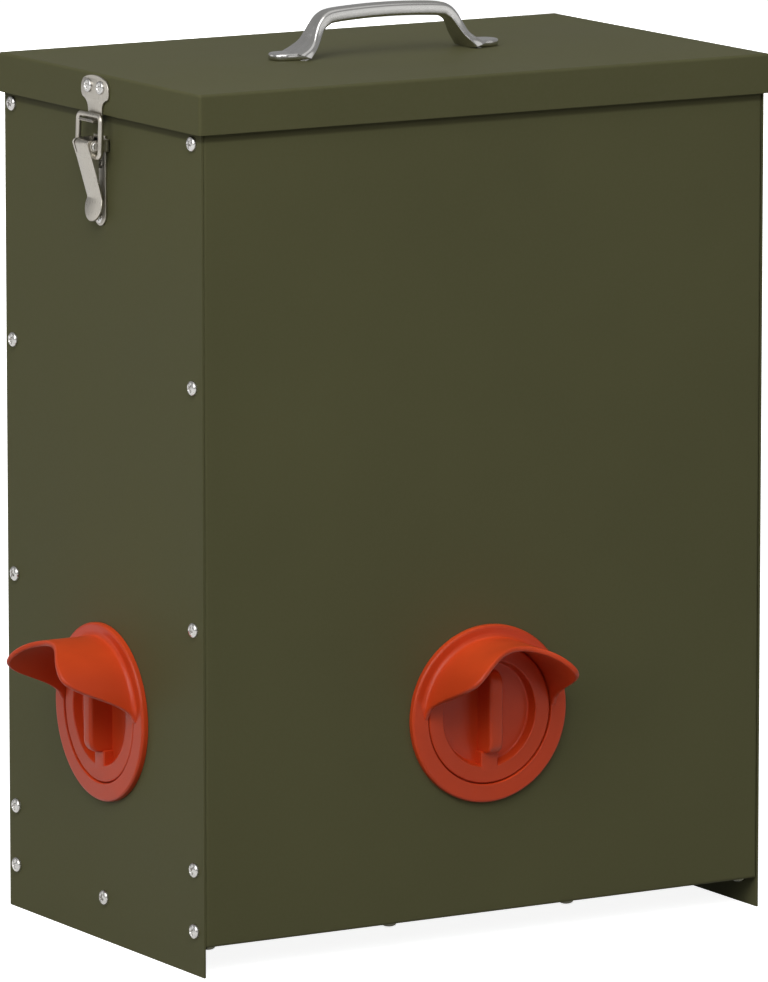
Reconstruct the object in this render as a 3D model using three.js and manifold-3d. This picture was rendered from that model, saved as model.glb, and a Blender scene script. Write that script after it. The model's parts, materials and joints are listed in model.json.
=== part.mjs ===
// Chicken feeder: a sheet-metal hopper with a lift-off lid, held down by a toggle latch on each side wall,
// and a hooded feeding port closed by a plug in each of its four walls. Millimetres, Z up.
// The origin is on the ground under the middle, X runs along the wide front and Y into the depth.
import * as THREE from 'three';
import { mergeVertices } from 'three/addons/utils/BufferGeometryUtils.js';
import Module from 'manifold-3d';

// Case
const caseWidth = 325;
const caseDepth = 200;
const lidTopHeight = 438;
const groundGap = 15;
const sheet = 1;
const bendRadius = 0.5;
const sideFlange = 18;
const topReturn = 8;
const reliefNotch = 3;
const floorFlange = 15;

// Lid
const lidOverhang = 2.5;
const lidSkirt = 20;

// Gaps between pieces
const seatGap = 0.05;
const cutGap = 0.3;

// Panel screws
const screwRadius = 1.9;
const screwHeadRadius = 3.8;
const screwHeadHeight = 2.6;
const sideScrewLength = 6;
const baseScrewLength = 4.5;
const screwEdge = 8.5;
const topScrewDrop = 25;
const lowScrewHeight = 53;
const screwRowCount = 4;
const floorScrewHeight = 22.3;
const baseScrewEdge = 6.5;
const baseScrewInset = 8;
const baseScrewCount = 4;

// Feeding ports
const portHeight = 117;
const flangeRadius = 45;
const flangeThickness = 3.5;
const flangeRound = 1.4;
const boreRadius = 35.8;
const hoodWall = 2.8;
const hoodTopReach = 31.5;
const hoodTipReach = 40.3;
const hoodRootReach = 5.5;
const hoodTipAngle = 45;
const hoodFallShare = 1.5;
const spigotStep = 2.6;
const spigotWall = 3.4;
const spigotLength = 14;
const lockRingWall = 5;
const lockRingRib = 1.2;
const lockRingThickness = 7;
const lockRingRibCount = 8;
const lockRingRibShares = [1, 1, 0, 0];

// Port plugs
const plugGap = 0.6;
const plugSink = 0.4;
const plugRecessRadius = 26.9;
const plugRecessDraft = 1.2;
const plugRecessDepth = 5.4;
const plugFloor = 2.5;
const plugSkirtDepth = 10;
const plugSkirtWall = 2.4;
const plugRimRound = 0.6;
const gripWidth = 7.8;
const gripTopReach = 22.3;
const gripLowReach = 20;
const gripProud = 7.2;
const gripRound = 6.5;
const gripEdge = 0.9;
const bridgeWidth = 9.6;

// Toggle latches
const latchSheet = 1.2;
const pinDrop = 35.2;
const pinOut = 8;
const pinRadius = 1.2;
const pivotDistance = 5.6;
const pivotLean = 10;
const leverWidth = 15.2;
const leverEarRadius = 2.8;
const leverEarDrop = 19;
const leverPlateOut = 3.7;
const leverKinkDrop = 26.8;
const leverKinkOut = 3.5;
const leverKinkBend = 3;
const leverKinkWidth = 14.6;
const leverTabWidth = 16.4;
const leverTabDrop = 38.3;
const leverTabOut = 6;
const baseWidth = 11.5;
const baseEarRadius = 3;
const baseDrop = 40.8;
const baseRise = 4.5;
const baseRivetInset = 4;
const baseUpperRivetDrop = 12;
const wireRadius = 1.4;
const wireCorner = 2.6;
const loopWidth = 25.4;
const barRise = 14.7;
const barOut = 6.3;
const hookGap = 0.6;
const hookReach = 2.6;
const hookCurl = 0.5;
const keeperNeckWidth = 13.5;
const keeperHeadWidth = 27.7;
const keeperHeadHeight = 13;
const keeperTopInset = 0.8;
const keeperLobeDrop = 7.6;
const keeperCrown = 1.6;
const keeperTaper = 5;
const keeperBend = 0.4;
const keeperRivetPitch = 12.4;
const keeperRivetDrop = 5.8;
const wireEndInset = 0.2;
const rivetRadius = 1.6;
const rivetHeadRadius = 3.2;
const rivetHeadHeight = 1.4;
const rivetTailRadius = 2.6;
const rivetTailHeight = 0.7;

// Lid handle
const handleLength = 132;
const handleHeight = 25.6;
const barWidth = 10;
const barThickness = 7;
const barDroop = 1.4;
const barEdgeShare = 0.85;
const shoulderInset = 35;
const padLength = 19.4;
const padWidth = 22;
const padThickness = 3.6;
const padTipRadius = 7.5;
const padFlareShare = 0.45;
const handleScrewRadius = 2;
const handleScrewHeadRadius = 3.8;
const handleScrewHeadHeight = 2;

// A leg of the handle from its shoulder down to its pad. Each row gives a point on its outer side and one on
// its inner side, as the way out from the pad's inner end in shares of the pad's length and the height in
// shares of the bow's rise, and then the width there as a share of the pad's width.
const legShares = [
  [-0.48, 0.86, -0.64, 0.63, 0.46],
  [-0.28, 0.7, -0.5, 0.56, 0.48],
  [-0.155, 0.53, -0.385, 0.445, 0.55],
  [-0.02, 0.345, -0.25, 0.28, 0.7],
  [0.175, 0.225, -0.11, 0.135, 0.86],
  [0.44, 0.13, 0.02, 0.02, 0.95],
];

// Length by which a cutting tool runs past the face that it cuts
const overrun = 1;

// Numbers of sides and steps on the round forms
const portSides = 32;
const plugSides = 24;
const hoodSteps = 16;
const edgeSteps = 2;
const rodSides = 8;
const bendSteps = 2;
const arcSteps = 2;
const wireSides = 6;
const wireBendSteps = 3;
const handleSides = 12;

const wasm = await Module();
wasm.setup();

const red = new THREE.Color().setRGB(0.6, 0.14, 0.07, THREE.SRGBColorSpace);
const olive = new THREE.Color().setRGB(0.3, 0.29, 0.21, THREE.SRGBColorSpace);
const steelGrey = new THREE.Color().setRGB(0.68, 0.65, 0.6, THREE.SRGBColorSpace);
const brightGrey = new THREE.Color().setRGB(0.8, 0.8, 0.78, THREE.SRGBColorSpace);

const feeder = new THREE.Group();

function paintedSheet() {
  return new THREE.MeshStandardMaterial({ color: olive, roughness: 0.55, metalness: 0.1 });
}

function redPlastic() {
  return new THREE.MeshStandardMaterial({ color: red, roughness: 0.4, metalness: 0 });
}

function latchSteel() {
  return new THREE.MeshStandardMaterial({ color: steelGrey, roughness: 0.3, metalness: 0.9 });
}

function screwSteel() {
  return new THREE.MeshStandardMaterial({ color: brightGrey, roughness: 0.25, metalness: 1 });
}

// Solids and meshes

function toSolid(geometry) {
  const bare = geometry.clone();
  bare.deleteAttribute('normal');
  bare.deleteAttribute('uv');
  const welded = mergeVertices(bare);
  const corners = welded.index.array;
  const kept = [];
  for (let i = 0; i < corners.length; i += 3) {
    const [a, b, c] = corners.slice(i, i + 3);
    if (a !== b && b !== c && c !== a) kept.push(a, b, c);
  }
  const vertProperties = Float32Array.from(welded.attributes.position.array);
  const triVerts = Uint32Array.from(kept);
  return new wasm.Manifold(new wasm.Mesh({ numProp: 3, vertProperties, triVerts }));
}

function toGeometry(solid) {
  const mesh = solid.getMesh();
  const geometry = new THREE.BufferGeometry();
  geometry.setAttribute('position', new THREE.BufferAttribute(mesh.vertProperties, 3));
  geometry.setIndex(new THREE.BufferAttribute(mesh.triVerts, 1));
  geometry.computeVertexNormals();
  return geometry;
}

function addPiece(parent, name, solid, material) {
  const mesh = new THREE.Mesh(toGeometry(solid), material);
  mesh.name = name;
  parent.add(mesh);
}

function union(solids) {
  return solids.reduce((whole, next) => whole.add(next));
}

function cut(solid, tools) {
  return tools.reduce((whole, tool) => whole.subtract(tool), solid);
}

function block(x0, x1, y0, y1, z0, z1) {
  const box = new THREE.BoxGeometry(x1 - x0, y1 - y0, z1 - z0);
  box.translate((x0 + x1) / 2, (y0 + y1) / 2, (z0 + z1) / 2);
  return toSolid(box);
}

function extrusion(shape, depth) {
  return new THREE.ExtrudeGeometry(shape, { depth, bevelEnabled: false, curveSegments: arcSteps });
}

// A shape drawn in (x, y), raised from z0 to z1.
function alongZ(shape, z0, z1) {
  const geometry = extrusion(shape, z1 - z0);
  geometry.translate(0, 0, z0);
  return toSolid(geometry);
}

// A shape drawn in (x, z), running from y0 to y1.
function alongY(shape, y0, y1) {
  const geometry = extrusion(shape, y1 - y0);
  const turn = new THREE.Matrix4();
  turn.makeBasis(new THREE.Vector3(1, 0, 0), new THREE.Vector3(0, 0, 1), new THREE.Vector3(0, -1, 0));
  geometry.applyMatrix4(turn);
  geometry.translate(0, y1, 0);
  return toSolid(geometry);
}

// A shape drawn in (y, z), running from x0 to x1.
function alongX(shape, x0, x1) {
  const geometry = extrusion(shape, x1 - x0);
  const turn = new THREE.Matrix4();
  turn.makeBasis(new THREE.Vector3(0, 1, 0), new THREE.Vector3(0, 0, 1), new THREE.Vector3(1, 0, 0));
  geometry.applyMatrix4(turn);
  geometry.translate(x0, 0, 0);
  return toSolid(geometry);
}

// A round rod whose middle is at the given place, along 'x', 'y' or 'z'.
function rod(radius, length, axis, x, y, z, sides = rodSides) {
  const geometry = new THREE.CylinderGeometry(radius, radius, length, sides);
  if (axis === 'x') geometry.rotateZ(Math.PI / 2);
  if (axis === 'z') geometry.rotateX(Math.PI / 2);
  geometry.translate(x, y, z);
  return toSolid(geometry);
}

// A body turned from a closed profile of (radius, distance outwards), its axis pointing to -Y.
function turned(profile, sides) {
  const points = profile.map(([radius, out]) => new THREE.Vector2(radius, out));
  const geometry = new THREE.LatheGeometry(points, sides);
  geometry.rotateX(Math.PI);
  return toSolid(geometry);
}

// A skin over rings with equal numbers of points, closed at both ends.
function loft(rings) {
  const count = rings[0].length;
  const index = [];
  for (let i = 0; i < rings.length - 1; i += 1) {
    for (let k = 0; k < count; k += 1) {
      const a = i * count + k;
      const b = i * count + ((k + 1) % count);
      index.push(a, b, b + count, a, b + count, a + count);
    }
  }
  const last = (rings.length - 1) * count;
  for (let k = 1; k < count - 1; k += 1) {
    index.push(0, k + 1, k, last, last + k, last + k + 1);
  }
  const geometry = new THREE.BufferGeometry();
  const positions = rings.flat().flatMap((point) => [point.x, point.y, point.z]);
  geometry.setAttribute('position', new THREE.Float32BufferAttribute(positions, 3));
  geometry.setIndex(index);
  return toSolid(geometry);
}

function direction(from, to) {
  return to.clone().sub(from).normalize();
}

// Points and headings along a flat path whose corners are rounded.
function roundedPath(corners, radius, steps) {
  const points = corners.map(([x, y]) => new THREE.Vector2(x, y));
  const last = points.length - 1;
  const stations = [{ point: points[0], heading: direction(points[0], points[1]) }];
  for (let i = 1; i < last; i += 1) {
    const before = direction(points[i - 1], points[i]);
    const after = direction(points[i], points[i + 1]);
    const turn = Math.atan2(before.cross(after), before.dot(after));
    const inwards = new THREE.Vector2(-before.y, before.x).multiplyScalar(radius * Math.sign(turn));
    const setback = radius * Math.tan(Math.abs(turn) / 2);
    const centre = points[i].clone().addScaledVector(before, -setback).add(inwards);
    for (let k = 0; k <= steps; k += 1) {
      const angle = (turn * k) / steps;
      const heading = before.clone().rotateAround(new THREE.Vector2(), angle);
      const spoke = inwards.clone().rotateAround(new THREE.Vector2(), angle);
      stations.push({ point: centre.clone().sub(spoke), heading });
    }
  }
  stations.push({ point: points[last], heading: direction(points[last - 1], points[last]) });
  return stations;
}

// The outline of a bent sheet, half its thickness to each side of its middle line.
function foldedSheet(corners, thickness, insideRadius) {
  const left = [];
  const right = [];
  for (const { point, heading } of roundedPath(corners, insideRadius + thickness / 2, bendSteps)) {
    const side = new THREE.Vector2(-heading.y, heading.x).multiplyScalar(thickness / 2);
    left.push(point.clone().add(side));
    right.push(point.clone().sub(side));
  }
  return new THREE.Shape([...left, ...right.reverse()]);
}

// A rectangle from (x0, y0) to (x1, y1) whose two upper corners, or all four, are rounded.
function roundedRectangle(x0, x1, y0, y1, radius, lowerRadius) {
  const shape = new THREE.Shape();
  shape.moveTo(x0 + lowerRadius, y0);
  shape.lineTo(x1 - lowerRadius, y0);
  if (lowerRadius > 0) shape.absarc(x1 - lowerRadius, y0 + lowerRadius, lowerRadius, -Math.PI / 2, 0);
  shape.lineTo(x1, y1 - radius);
  shape.absarc(x1 - radius, y1 - radius, radius, 0, Math.PI / 2);
  shape.lineTo(x0 + radius, y1);
  shape.absarc(x0 + radius, y1 - radius, radius, Math.PI / 2, Math.PI);
  shape.lineTo(x0, y0 + lowerRadius);
  if (lowerRadius > 0) shape.absarc(x0 + lowerRadius, y0 + lowerRadius, lowerRadius, Math.PI, Math.PI * 1.5);
  return shape;
}

// A block under z = 0 whose four upper edges are rounded.
function softBlock(width, length, depth, radius) {
  const across = roundedRectangle(-width / 2, width / 2, -depth, 0, radius, 0);
  const along = roundedRectangle(-length / 2, length / 2, -depth, 0, radius, 0);
  const first = alongY(across, -length / 2, length / 2);
  const second = alongX(along, -width / 2, width / 2);
  return first.intersect(second);
}

// A folded tray, open below, with its flat top at z = 0.
function tray(width, length, depth, radius) {
  const outside = softBlock(width, length, depth, radius + sheet);
  const inside = softBlock(width - 2 * sheet, length - 2 * sheet, depth, radius);
  return outside.subtract(inside.translate([0, 0, -sheet]));
}

// Wall frames: X along the wall to the right as seen from outside, Y into the feeder, Z up

const panelTop = lidTopHeight - sheet - seatGap;
const walls = {
  front: { angle: 0, x: 0, y: -caseDepth / 2 },
  right: { angle: Math.PI / 2, x: caseWidth / 2, y: 0 },
  back: { angle: Math.PI, x: 0, y: caseDepth / 2 },
  left: { angle: -Math.PI / 2, x: -caseWidth / 2, y: 0 },
};

function wallGroup(side) {
  const group = new THREE.Group();
  group.position.set(walls[side].x, walls[side].y, 0);
  group.rotation.z = walls[side].angle;
  feeder.add(group);
  return group;
}

// Places shared by the panels, screws, ports and latches

const throughCut = 2 * (sheet + overrun);
const pinHeight = lidTopHeight - pinDrop;
const screwHole = screwRadius + cutGap;
const rivetHole = rivetRadius + cutGap;
const spigotInside = boreRadius - spigotStep;
const spigotOutside = spigotInside + spigotWall;
const portHole = spigotOutside + 2 * cutGap;
const topScrewHeight = lidTopHeight - topScrewDrop;
const screwRowSpan = topScrewHeight - lowScrewHeight;
const rowHeights = Array.from(
  { length: screwRowCount },
  (_, row) => topScrewHeight - (screwRowSpan * row) / (screwRowCount - 1),
);
const baseScrewSpan = caseWidth - 2 * baseScrewEdge;
const baseScrewPlaces = Array.from(
  { length: baseScrewCount },
  (_, i) => -baseScrewSpan / 2 + (baseScrewSpan * i) / (baseScrewCount - 1),
);
const baseRivetHeights = [pinHeight - baseUpperRivetDrop, pinHeight - baseDrop + baseRivetInset];
const keeperTop = lidTopHeight - keeperTopInset;
const keeperRivetHeight = keeperTop - keeperRivetDrop;

// Front and back panels: trays with side flanges and a base flange, drawn as the front one

const trayWidth = caseWidth - 2 * sheet - 2 * seatGap;

function longPanel() {
  const height = panelTop - groundGap;
  const middle = groundGap + height / 2;
  const geometry = toGeometry(tray(trayWidth, height, sideFlange, bendRadius));
  const stand = new THREE.Matrix4();
  stand.makeBasis(new THREE.Vector3(1, 0, 0), new THREE.Vector3(0, 0, 1), new THREE.Vector3(0, -1, 0));
  geometry.applyMatrix4(stand);
  geometry.translate(0, 0, middle);
  const panel = toSolid(geometry);
  const half = trayWidth / 2;
  const tools = [];
  const cutEnd = half + overrun;
  const cutTop = panelTop + overrun;
  tools.push(block(-cutEnd, cutEnd, topReturn, sideFlange + overrun, panelTop - topReturn, cutTop));
  for (const side of [-1, 1]) {
    const corner = side * half;
    const x0 = Math.min(corner - side * reliefNotch, corner + side * overrun);
    const x1 = Math.max(corner - side * reliefNotch, corner + side * overrun);
    const notchStart = sheet + bendRadius + reliefNotch / 2;
    tools.push(block(x0, x1, notchStart, sideFlange + overrun, groundGap - overrun, groundGap + reliefNotch));
    for (const z of [...rowHeights, floorScrewHeight]) {
      tools.push(rod(screwHole, throughCut, 'x', corner, screwEdge, z));
    }
  }
  for (const x of baseScrewPlaces) {
    tools.push(rod(screwHole, throughCut, 'z', x, baseScrewInset, groundGap));
  }
  tools.push(rod(portHole, throughCut, 'y', 0, 0, portHeight, portSides));
  return cut(panel, tools);
}

// Side panels: flat sheets down to the ground with a top return, drawn in their wall's frame

function sidePanel() {
  const half = caseDepth / 2;
  const corners = [
    [sheet / 2, 0],
    [sheet / 2, panelTop - sheet / 2],
    [topReturn, panelTop - sheet / 2],
  ];
  const panel = alongX(foldedSheet(corners, sheet, bendRadius), -half, half);
  const tools = [];
  for (const side of [-1, 1]) {
    const inner = side * (half - topReturn - cutGap);
    const x0 = Math.min(inner, side * (half + overrun));
    const x1 = Math.max(inner, side * (half + overrun));
    tools.push(block(x0, x1, sheet, topReturn + overrun, panelTop - topReturn, panelTop + overrun));
    for (const z of rowHeights) {
      tools.push(rod(screwHole, throughCut, 'y', side * (half - screwEdge), 0, z));
    }
  }
  for (const x of [-(half - screwEdge), 0, half - screwEdge]) {
    tools.push(rod(screwHole, throughCut, 'y', x, 0, floorScrewHeight));
  }
  tools.push(rod(portHole, throughCut, 'y', 0, 0, portHeight, portSides));
  for (const z of baseRivetHeights) {
    tools.push(rod(rivetHole, throughCut, 'y', 0, 0, z));
  }
  return cut(panel, tools);
}

// Floor: rests on the base flanges and turns up beside the side walls

const floorHalfWidth = caseWidth / 2 - 2 * sheet - seatGap - cutGap;
const floorHalfDepth = caseDepth / 2 - sheet - bendRadius - cutGap;
const floorBottom = groundGap + sheet + seatGap;

function floorPanel() {
  const corners = [
    [-floorHalfWidth + sheet / 2, floorBottom + floorFlange],
    [-floorHalfWidth + sheet / 2, floorBottom + sheet / 2],
    [floorHalfWidth - sheet / 2, floorBottom + sheet / 2],
    [floorHalfWidth - sheet / 2, floorBottom + floorFlange],
  ];
  const plate = alongY(foldedSheet(corners, sheet, bendRadius), -floorHalfDepth, floorHalfDepth);
  const tools = [];
  for (const y of [-(caseDepth / 2 - screwEdge), 0, caseDepth / 2 - screwEdge]) {
    for (const x of [-floorHalfWidth, floorHalfWidth]) {
      tools.push(rod(screwHole, throughCut, 'x', x, y, floorScrewHeight));
    }
  }
  for (const x of baseScrewPlaces) {
    for (const side of [-1, 1]) {
      const y = side * (caseDepth / 2 - baseScrewInset);
      tools.push(rod(screwHole, throughCut, 'z', x, y, floorBottom + sheet / 2));
    }
  }
  return cut(plate, tools);
}

// Pan-head screws, their heads towards -Y and their seats at y = 0

function panScrew(length) {
  const profile = [
    [0, -length],
    [screwRadius, -length],
    [screwRadius, seatGap],
    [screwHeadRadius, seatGap],
    [screwHeadRadius, screwHeadHeight / 2],
    [screwHeadRadius / 2, screwHeadHeight],
    [0, screwHeadHeight],
  ];
  return turned(profile, rodSides);
}

// Feeding port: flange, spigot and rain hood in one moulding

// How far the hood's free edge stands out at an angle from its top, in degrees.
// It rises smoothly from the top to a tip at each side, then falls back to the root.
function hoodReach(angle) {
  const away = Math.abs(angle);
  if (away <= hoodTipAngle) {
    const rise = (1 - Math.cos((Math.PI * away) / hoodTipAngle)) / 2;
    return hoodTopReach + (hoodTipReach - hoodTopReach) * rise;
  }
  const fall = (away - hoodTipAngle) / (90 - hoodTipAngle);
  const left = Math.cos((Math.PI / 2) * fall) ** hoodFallShare;
  return hoodRootReach + (hoodTipReach - hoodRootReach) * left;
}

function hood() {
  const root = flangeThickness / 2;
  const middle = boreRadius + hoodWall / 2;
  const rings = [];
  for (let i = 0; i <= hoodSteps; i += 1) {
    const angle = -90 + (180 * i) / hoodSteps;
    const reach = Math.max(hoodReach(angle), root + hoodWall) - hoodWall / 2;
    const section = [[boreRadius, root], [boreRadius + hoodWall, root]];
    for (let k = 0; k <= edgeSteps; k += 1) {
      const round = (Math.PI * k) / edgeSteps;
      const r = middle + (hoodWall / 2) * Math.cos(round);
      section.push([r, reach + (hoodWall / 2) * Math.sin(round)]);
    }
    const turn = THREE.MathUtils.degToRad(angle);
    rings.push(section.map(([r, out]) => new THREE.Vector3(r * Math.sin(turn), -out, r * Math.cos(turn))));
  }
  return loft(rings);
}

function portBody() {
  const profile = [
    [boreRadius, flangeThickness],
    [flangeRadius - flangeRound, flangeThickness],
    [flangeRadius, flangeThickness - flangeRound],
    [flangeRadius, seatGap],
    [spigotOutside, seatGap],
    [spigotOutside, -spigotLength],
    [spigotInside, -spigotLength],
    [spigotInside, 0],
    [boreRadius, 0],
    [boreRadius, flangeThickness],
  ].reverse();
  return turned(profile, portSides).add(hood());
}

function lockRing() {
  const inner = spigotOutside + cutGap;
  const count = lockRingRibCount * lockRingRibShares.length;
  const outline = Array.from({ length: count }, (_, i) => {
    const angle = (2 * Math.PI * i) / count;
    const r = inner + lockRingWall + lockRingRib * lockRingRibShares[i % lockRingRibShares.length];
    return new THREE.Vector2(r * Math.cos(angle), r * Math.sin(angle));
  });
  const outerEnd = sheet + seatGap;
  const innerEnd = outerEnd + lockRingThickness;
  const ring = alongY(new THREE.Shape(outline), outerEnd, innerEnd);
  const boreLength = lockRingThickness + 2 * overrun;
  return ring.subtract(rod(inner, boreLength, 'y', 0, (outerEnd + innerEnd) / 2, 0, portSides));
}

function plug() {
  const rim = flangeThickness - plugSink;
  const floorTop = rim - plugRecessDepth;
  const outer = boreRadius - plugGap;
  const skirt = spigotInside - plugGap;
  const profile = [
    [0, floorTop - plugFloor],
    [skirt - plugSkirtWall, floorTop - plugFloor],
    [skirt - plugSkirtWall, -plugSkirtDepth],
    [skirt, -plugSkirtDepth],
    [skirt, cutGap],
    [outer, cutGap],
    [outer, rim - plugRimRound],
    [outer - plugRimRound, rim],
    [plugRecessRadius, rim],
    [plugRecessRadius - plugRecessDraft, floorTop],
    [0, floorTop],
  ];
  const cup = turned(profile, plugSides);
  const foot = floorTop - plugFloor / 2;
  const bridgeEnd = (plugRecessRadius + outer) / 2;
  const across = bridgeWidth / 2;
  const bridge = block(-across, across, -rim, -foot, -bridgeEnd, -gripLowReach + gripEdge);
  return union([cup, gripBar(foot, rim + gripProud), bridge]);
}

// The plug's upright bar: its side view has two rounded corners and its edges are bevelled.
function gripBar(foot, top) {
  const low = -gripLowReach + gripEdge;
  const high = gripTopReach - gripEdge;
  const outline = roundedRectangle(-high, -low, foot, top - gripEdge, gripRound, 0);
  const geometry = new THREE.ExtrudeGeometry(outline, {
    depth: gripWidth - 2 * gripEdge,
    bevelThickness: gripEdge,
    bevelSize: gripEdge,
    bevelSegments: 1,
    curveSegments: arcSteps,
  });
  const turn = new THREE.Matrix4();
  turn.makeBasis(new THREE.Vector3(0, 0, 1), new THREE.Vector3(0, -1, 0), new THREE.Vector3(1, 0, 0));
  geometry.applyMatrix4(turn);
  geometry.translate(-gripWidth / 2 + gripEdge, 0, 0);
  return toSolid(geometry);
}

// Toggle latches, drawn in their wall's frame

const pin = new THREE.Vector2(-pinOut, pinHeight);
const lean = THREE.MathUtils.degToRad(pivotLean);
const pivot = new THREE.Vector2(
  pin.x + pivotDistance * Math.sin(lean),
  pin.y - pivotDistance * Math.cos(lean),
);
const barHeight = pinHeight + barRise;
const baseEarInside = leverWidth / 2 + cutGap;
const baseEarOutside = baseEarInside + latchSheet;
const latchFace = seatGap + latchSheet;
const earCut = 2 * (baseEarOutside + overrun);
const leverDepth = pinOut + leverPlateOut + latchSheet + overrun;
const keeperDepth = barOut + hookReach + latchSheet + overrun;

// A rivet with a domed head outside and a flat tail inside a wall whose outer face is at wallOut.
function rivet(wallOut) {
  const head = wallOut + latchFace - seatGap / 2;
  const tail = wallOut - sheet - seatGap;
  const profile = [
    [0, tail - rivetTailHeight],
    [rivetTailRadius, tail - rivetTailHeight],
    [rivetTailRadius, tail],
    [rivetRadius, tail],
    [rivetRadius, head],
    [rivetHeadRadius, head],
    [rivetHeadRadius / 2, head + rivetHeadHeight],
    [0, head + rivetHeadHeight],
  ];
  return turned(profile, rodSides);
}

function latchBase() {
  const low = pinHeight - baseDrop;
  const high = pinHeight + baseRise;
  const half = baseWidth / 2;
  const strap = new THREE.Shape();
  strap.moveTo(half, high);
  strap.lineTo(-half, high);
  strap.lineTo(-half, low + half);
  strap.absarc(0, low + half, half, Math.PI, 2 * Math.PI);
  const web = alongY(strap, -latchFace, -seatGap);
  const earFoot = [pinHeight - baseEarRadius, pinHeight + baseEarRadius];
  const crossPiece = block(-baseEarOutside, baseEarOutside, -latchFace, -seatGap, ...earFoot);
  const ear = new THREE.Shape();
  ear.moveTo(-seatGap, earFoot[0]);
  ear.lineTo(-seatGap, earFoot[1]);
  ear.lineTo(pin.x, earFoot[1]);
  ear.absarc(pin.x, pin.y, baseEarRadius, Math.PI / 2, 1.5 * Math.PI);
  const pieces = [web, crossPiece];
  pieces.push(alongX(ear, baseEarInside, baseEarOutside));
  pieces.push(alongX(ear, -baseEarOutside, -baseEarInside));
  for (const z of baseRivetHeights) pieces.push(rivet(0).translate([0, 0, z]));
  const hole = rod(pinRadius + cutGap, earCut, 'x', 0, pin.x, pin.y);
  return union(pieces).subtract(hole);
}

function hingePin() {
  return rod(pinRadius, 2 * (baseEarOutside + wireEndInset), 'x', 0, pin.x, pin.y);
}

function latchLever() {
  const top = pinHeight + leverEarRadius;
  const topPoint = [pin.x - leverPlateOut, top];
  const kink = [-leverKinkOut, pinHeight - leverKinkDrop];
  const tabEnd = [-leverTabOut, pinHeight - leverTabDrop - overrun];
  const side = foldedSheet([topPoint, kink, tabEnd], latchSheet, leverKinkBend);
  const half = leverWidth / 2;
  const neck = leverKinkWidth / 2;
  const tab = leverTabWidth / 2;
  const tabMiddle = pinHeight - leverTabDrop + tab;
  const front = new THREE.Shape();
  front.moveTo(half, top + overrun);
  front.lineTo(-half, top + overrun);
  front.lineTo(-half, pivot.y);
  front.lineTo(-neck, kink[1]);
  front.lineTo(-tab, tabMiddle);
  front.absarc(0, tabMiddle, tab, Math.PI, 2 * Math.PI);
  front.lineTo(neck, kink[1]);
  front.lineTo(half, pivot.y);
  const plate = alongX(side, -tab, tab).intersect(alongY(front, -leverDepth, 0));
  const earLow = pinHeight - leverEarDrop;
  const along = (top - earLow) / (top - kink[1]);
  const ear = new THREE.Shape();
  ear.moveTo(topPoint[0], top);
  ear.lineTo(pin.x, top);
  ear.absarc(pin.x, pin.y, leverEarRadius, Math.PI / 2, 0, true);
  ear.absarc(pivot.x, pivot.y, leverEarRadius, 0, -Math.PI / 3, true);
  ear.lineTo(topPoint[0] + (kink[0] - topPoint[0]) * along, earLow);
  const holes = [
    rod(pinRadius + cutGap, earCut, 'x', 0, pin.x, pin.y),
    rod(wireRadius + cutGap, earCut, 'x', 0, pivot.x, pivot.y),
  ];
  const ears = [alongX(ear, half - latchSheet, half), alongX(ear, -half, latchSheet - half)];
  return plate.add(cut(union(ears), holes));
}

// The loop is one bent wire. Its plane leans from the pivot to the bar, and its ends turn in to the lever.
function latchLoop() {
  const leg = loopWidth / 2 - wireRadius;
  const end = leverWidth / 2 - latchSheet - wireEndInset;
  const rise = new THREE.Vector3(0, -barOut - pivot.x, barHeight - pivot.y);
  const length = rise.length();
  const up = rise.clone().normalize();
  const across = new THREE.Vector3(1, 0, 0);
  const out = new THREE.Vector3().crossVectors(across, up);
  const corners = [[end, 0], [leg, 0], [leg, length], [-leg, length], [-leg, 0], [-end, 0]];
  const rings = roundedPath(corners, wireCorner, wireBendSteps).map(({ point, heading }) => {
    const centre = new THREE.Vector3(0, pivot.x, pivot.y);
    centre.addScaledVector(across, point.x).addScaledVector(up, point.y);
    const side = across.clone().multiplyScalar(-heading.y).addScaledVector(up, heading.x);
    return Array.from({ length: wireSides }, (_, k) => {
      const angle = (2 * Math.PI * k) / wireSides;
      const spoke = side.clone().multiplyScalar(wireRadius * Math.cos(angle));
      return spoke.addScaledVector(out, wireRadius * Math.sin(angle)).add(centre);
    });
  });
  return loft(rings);
}

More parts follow.
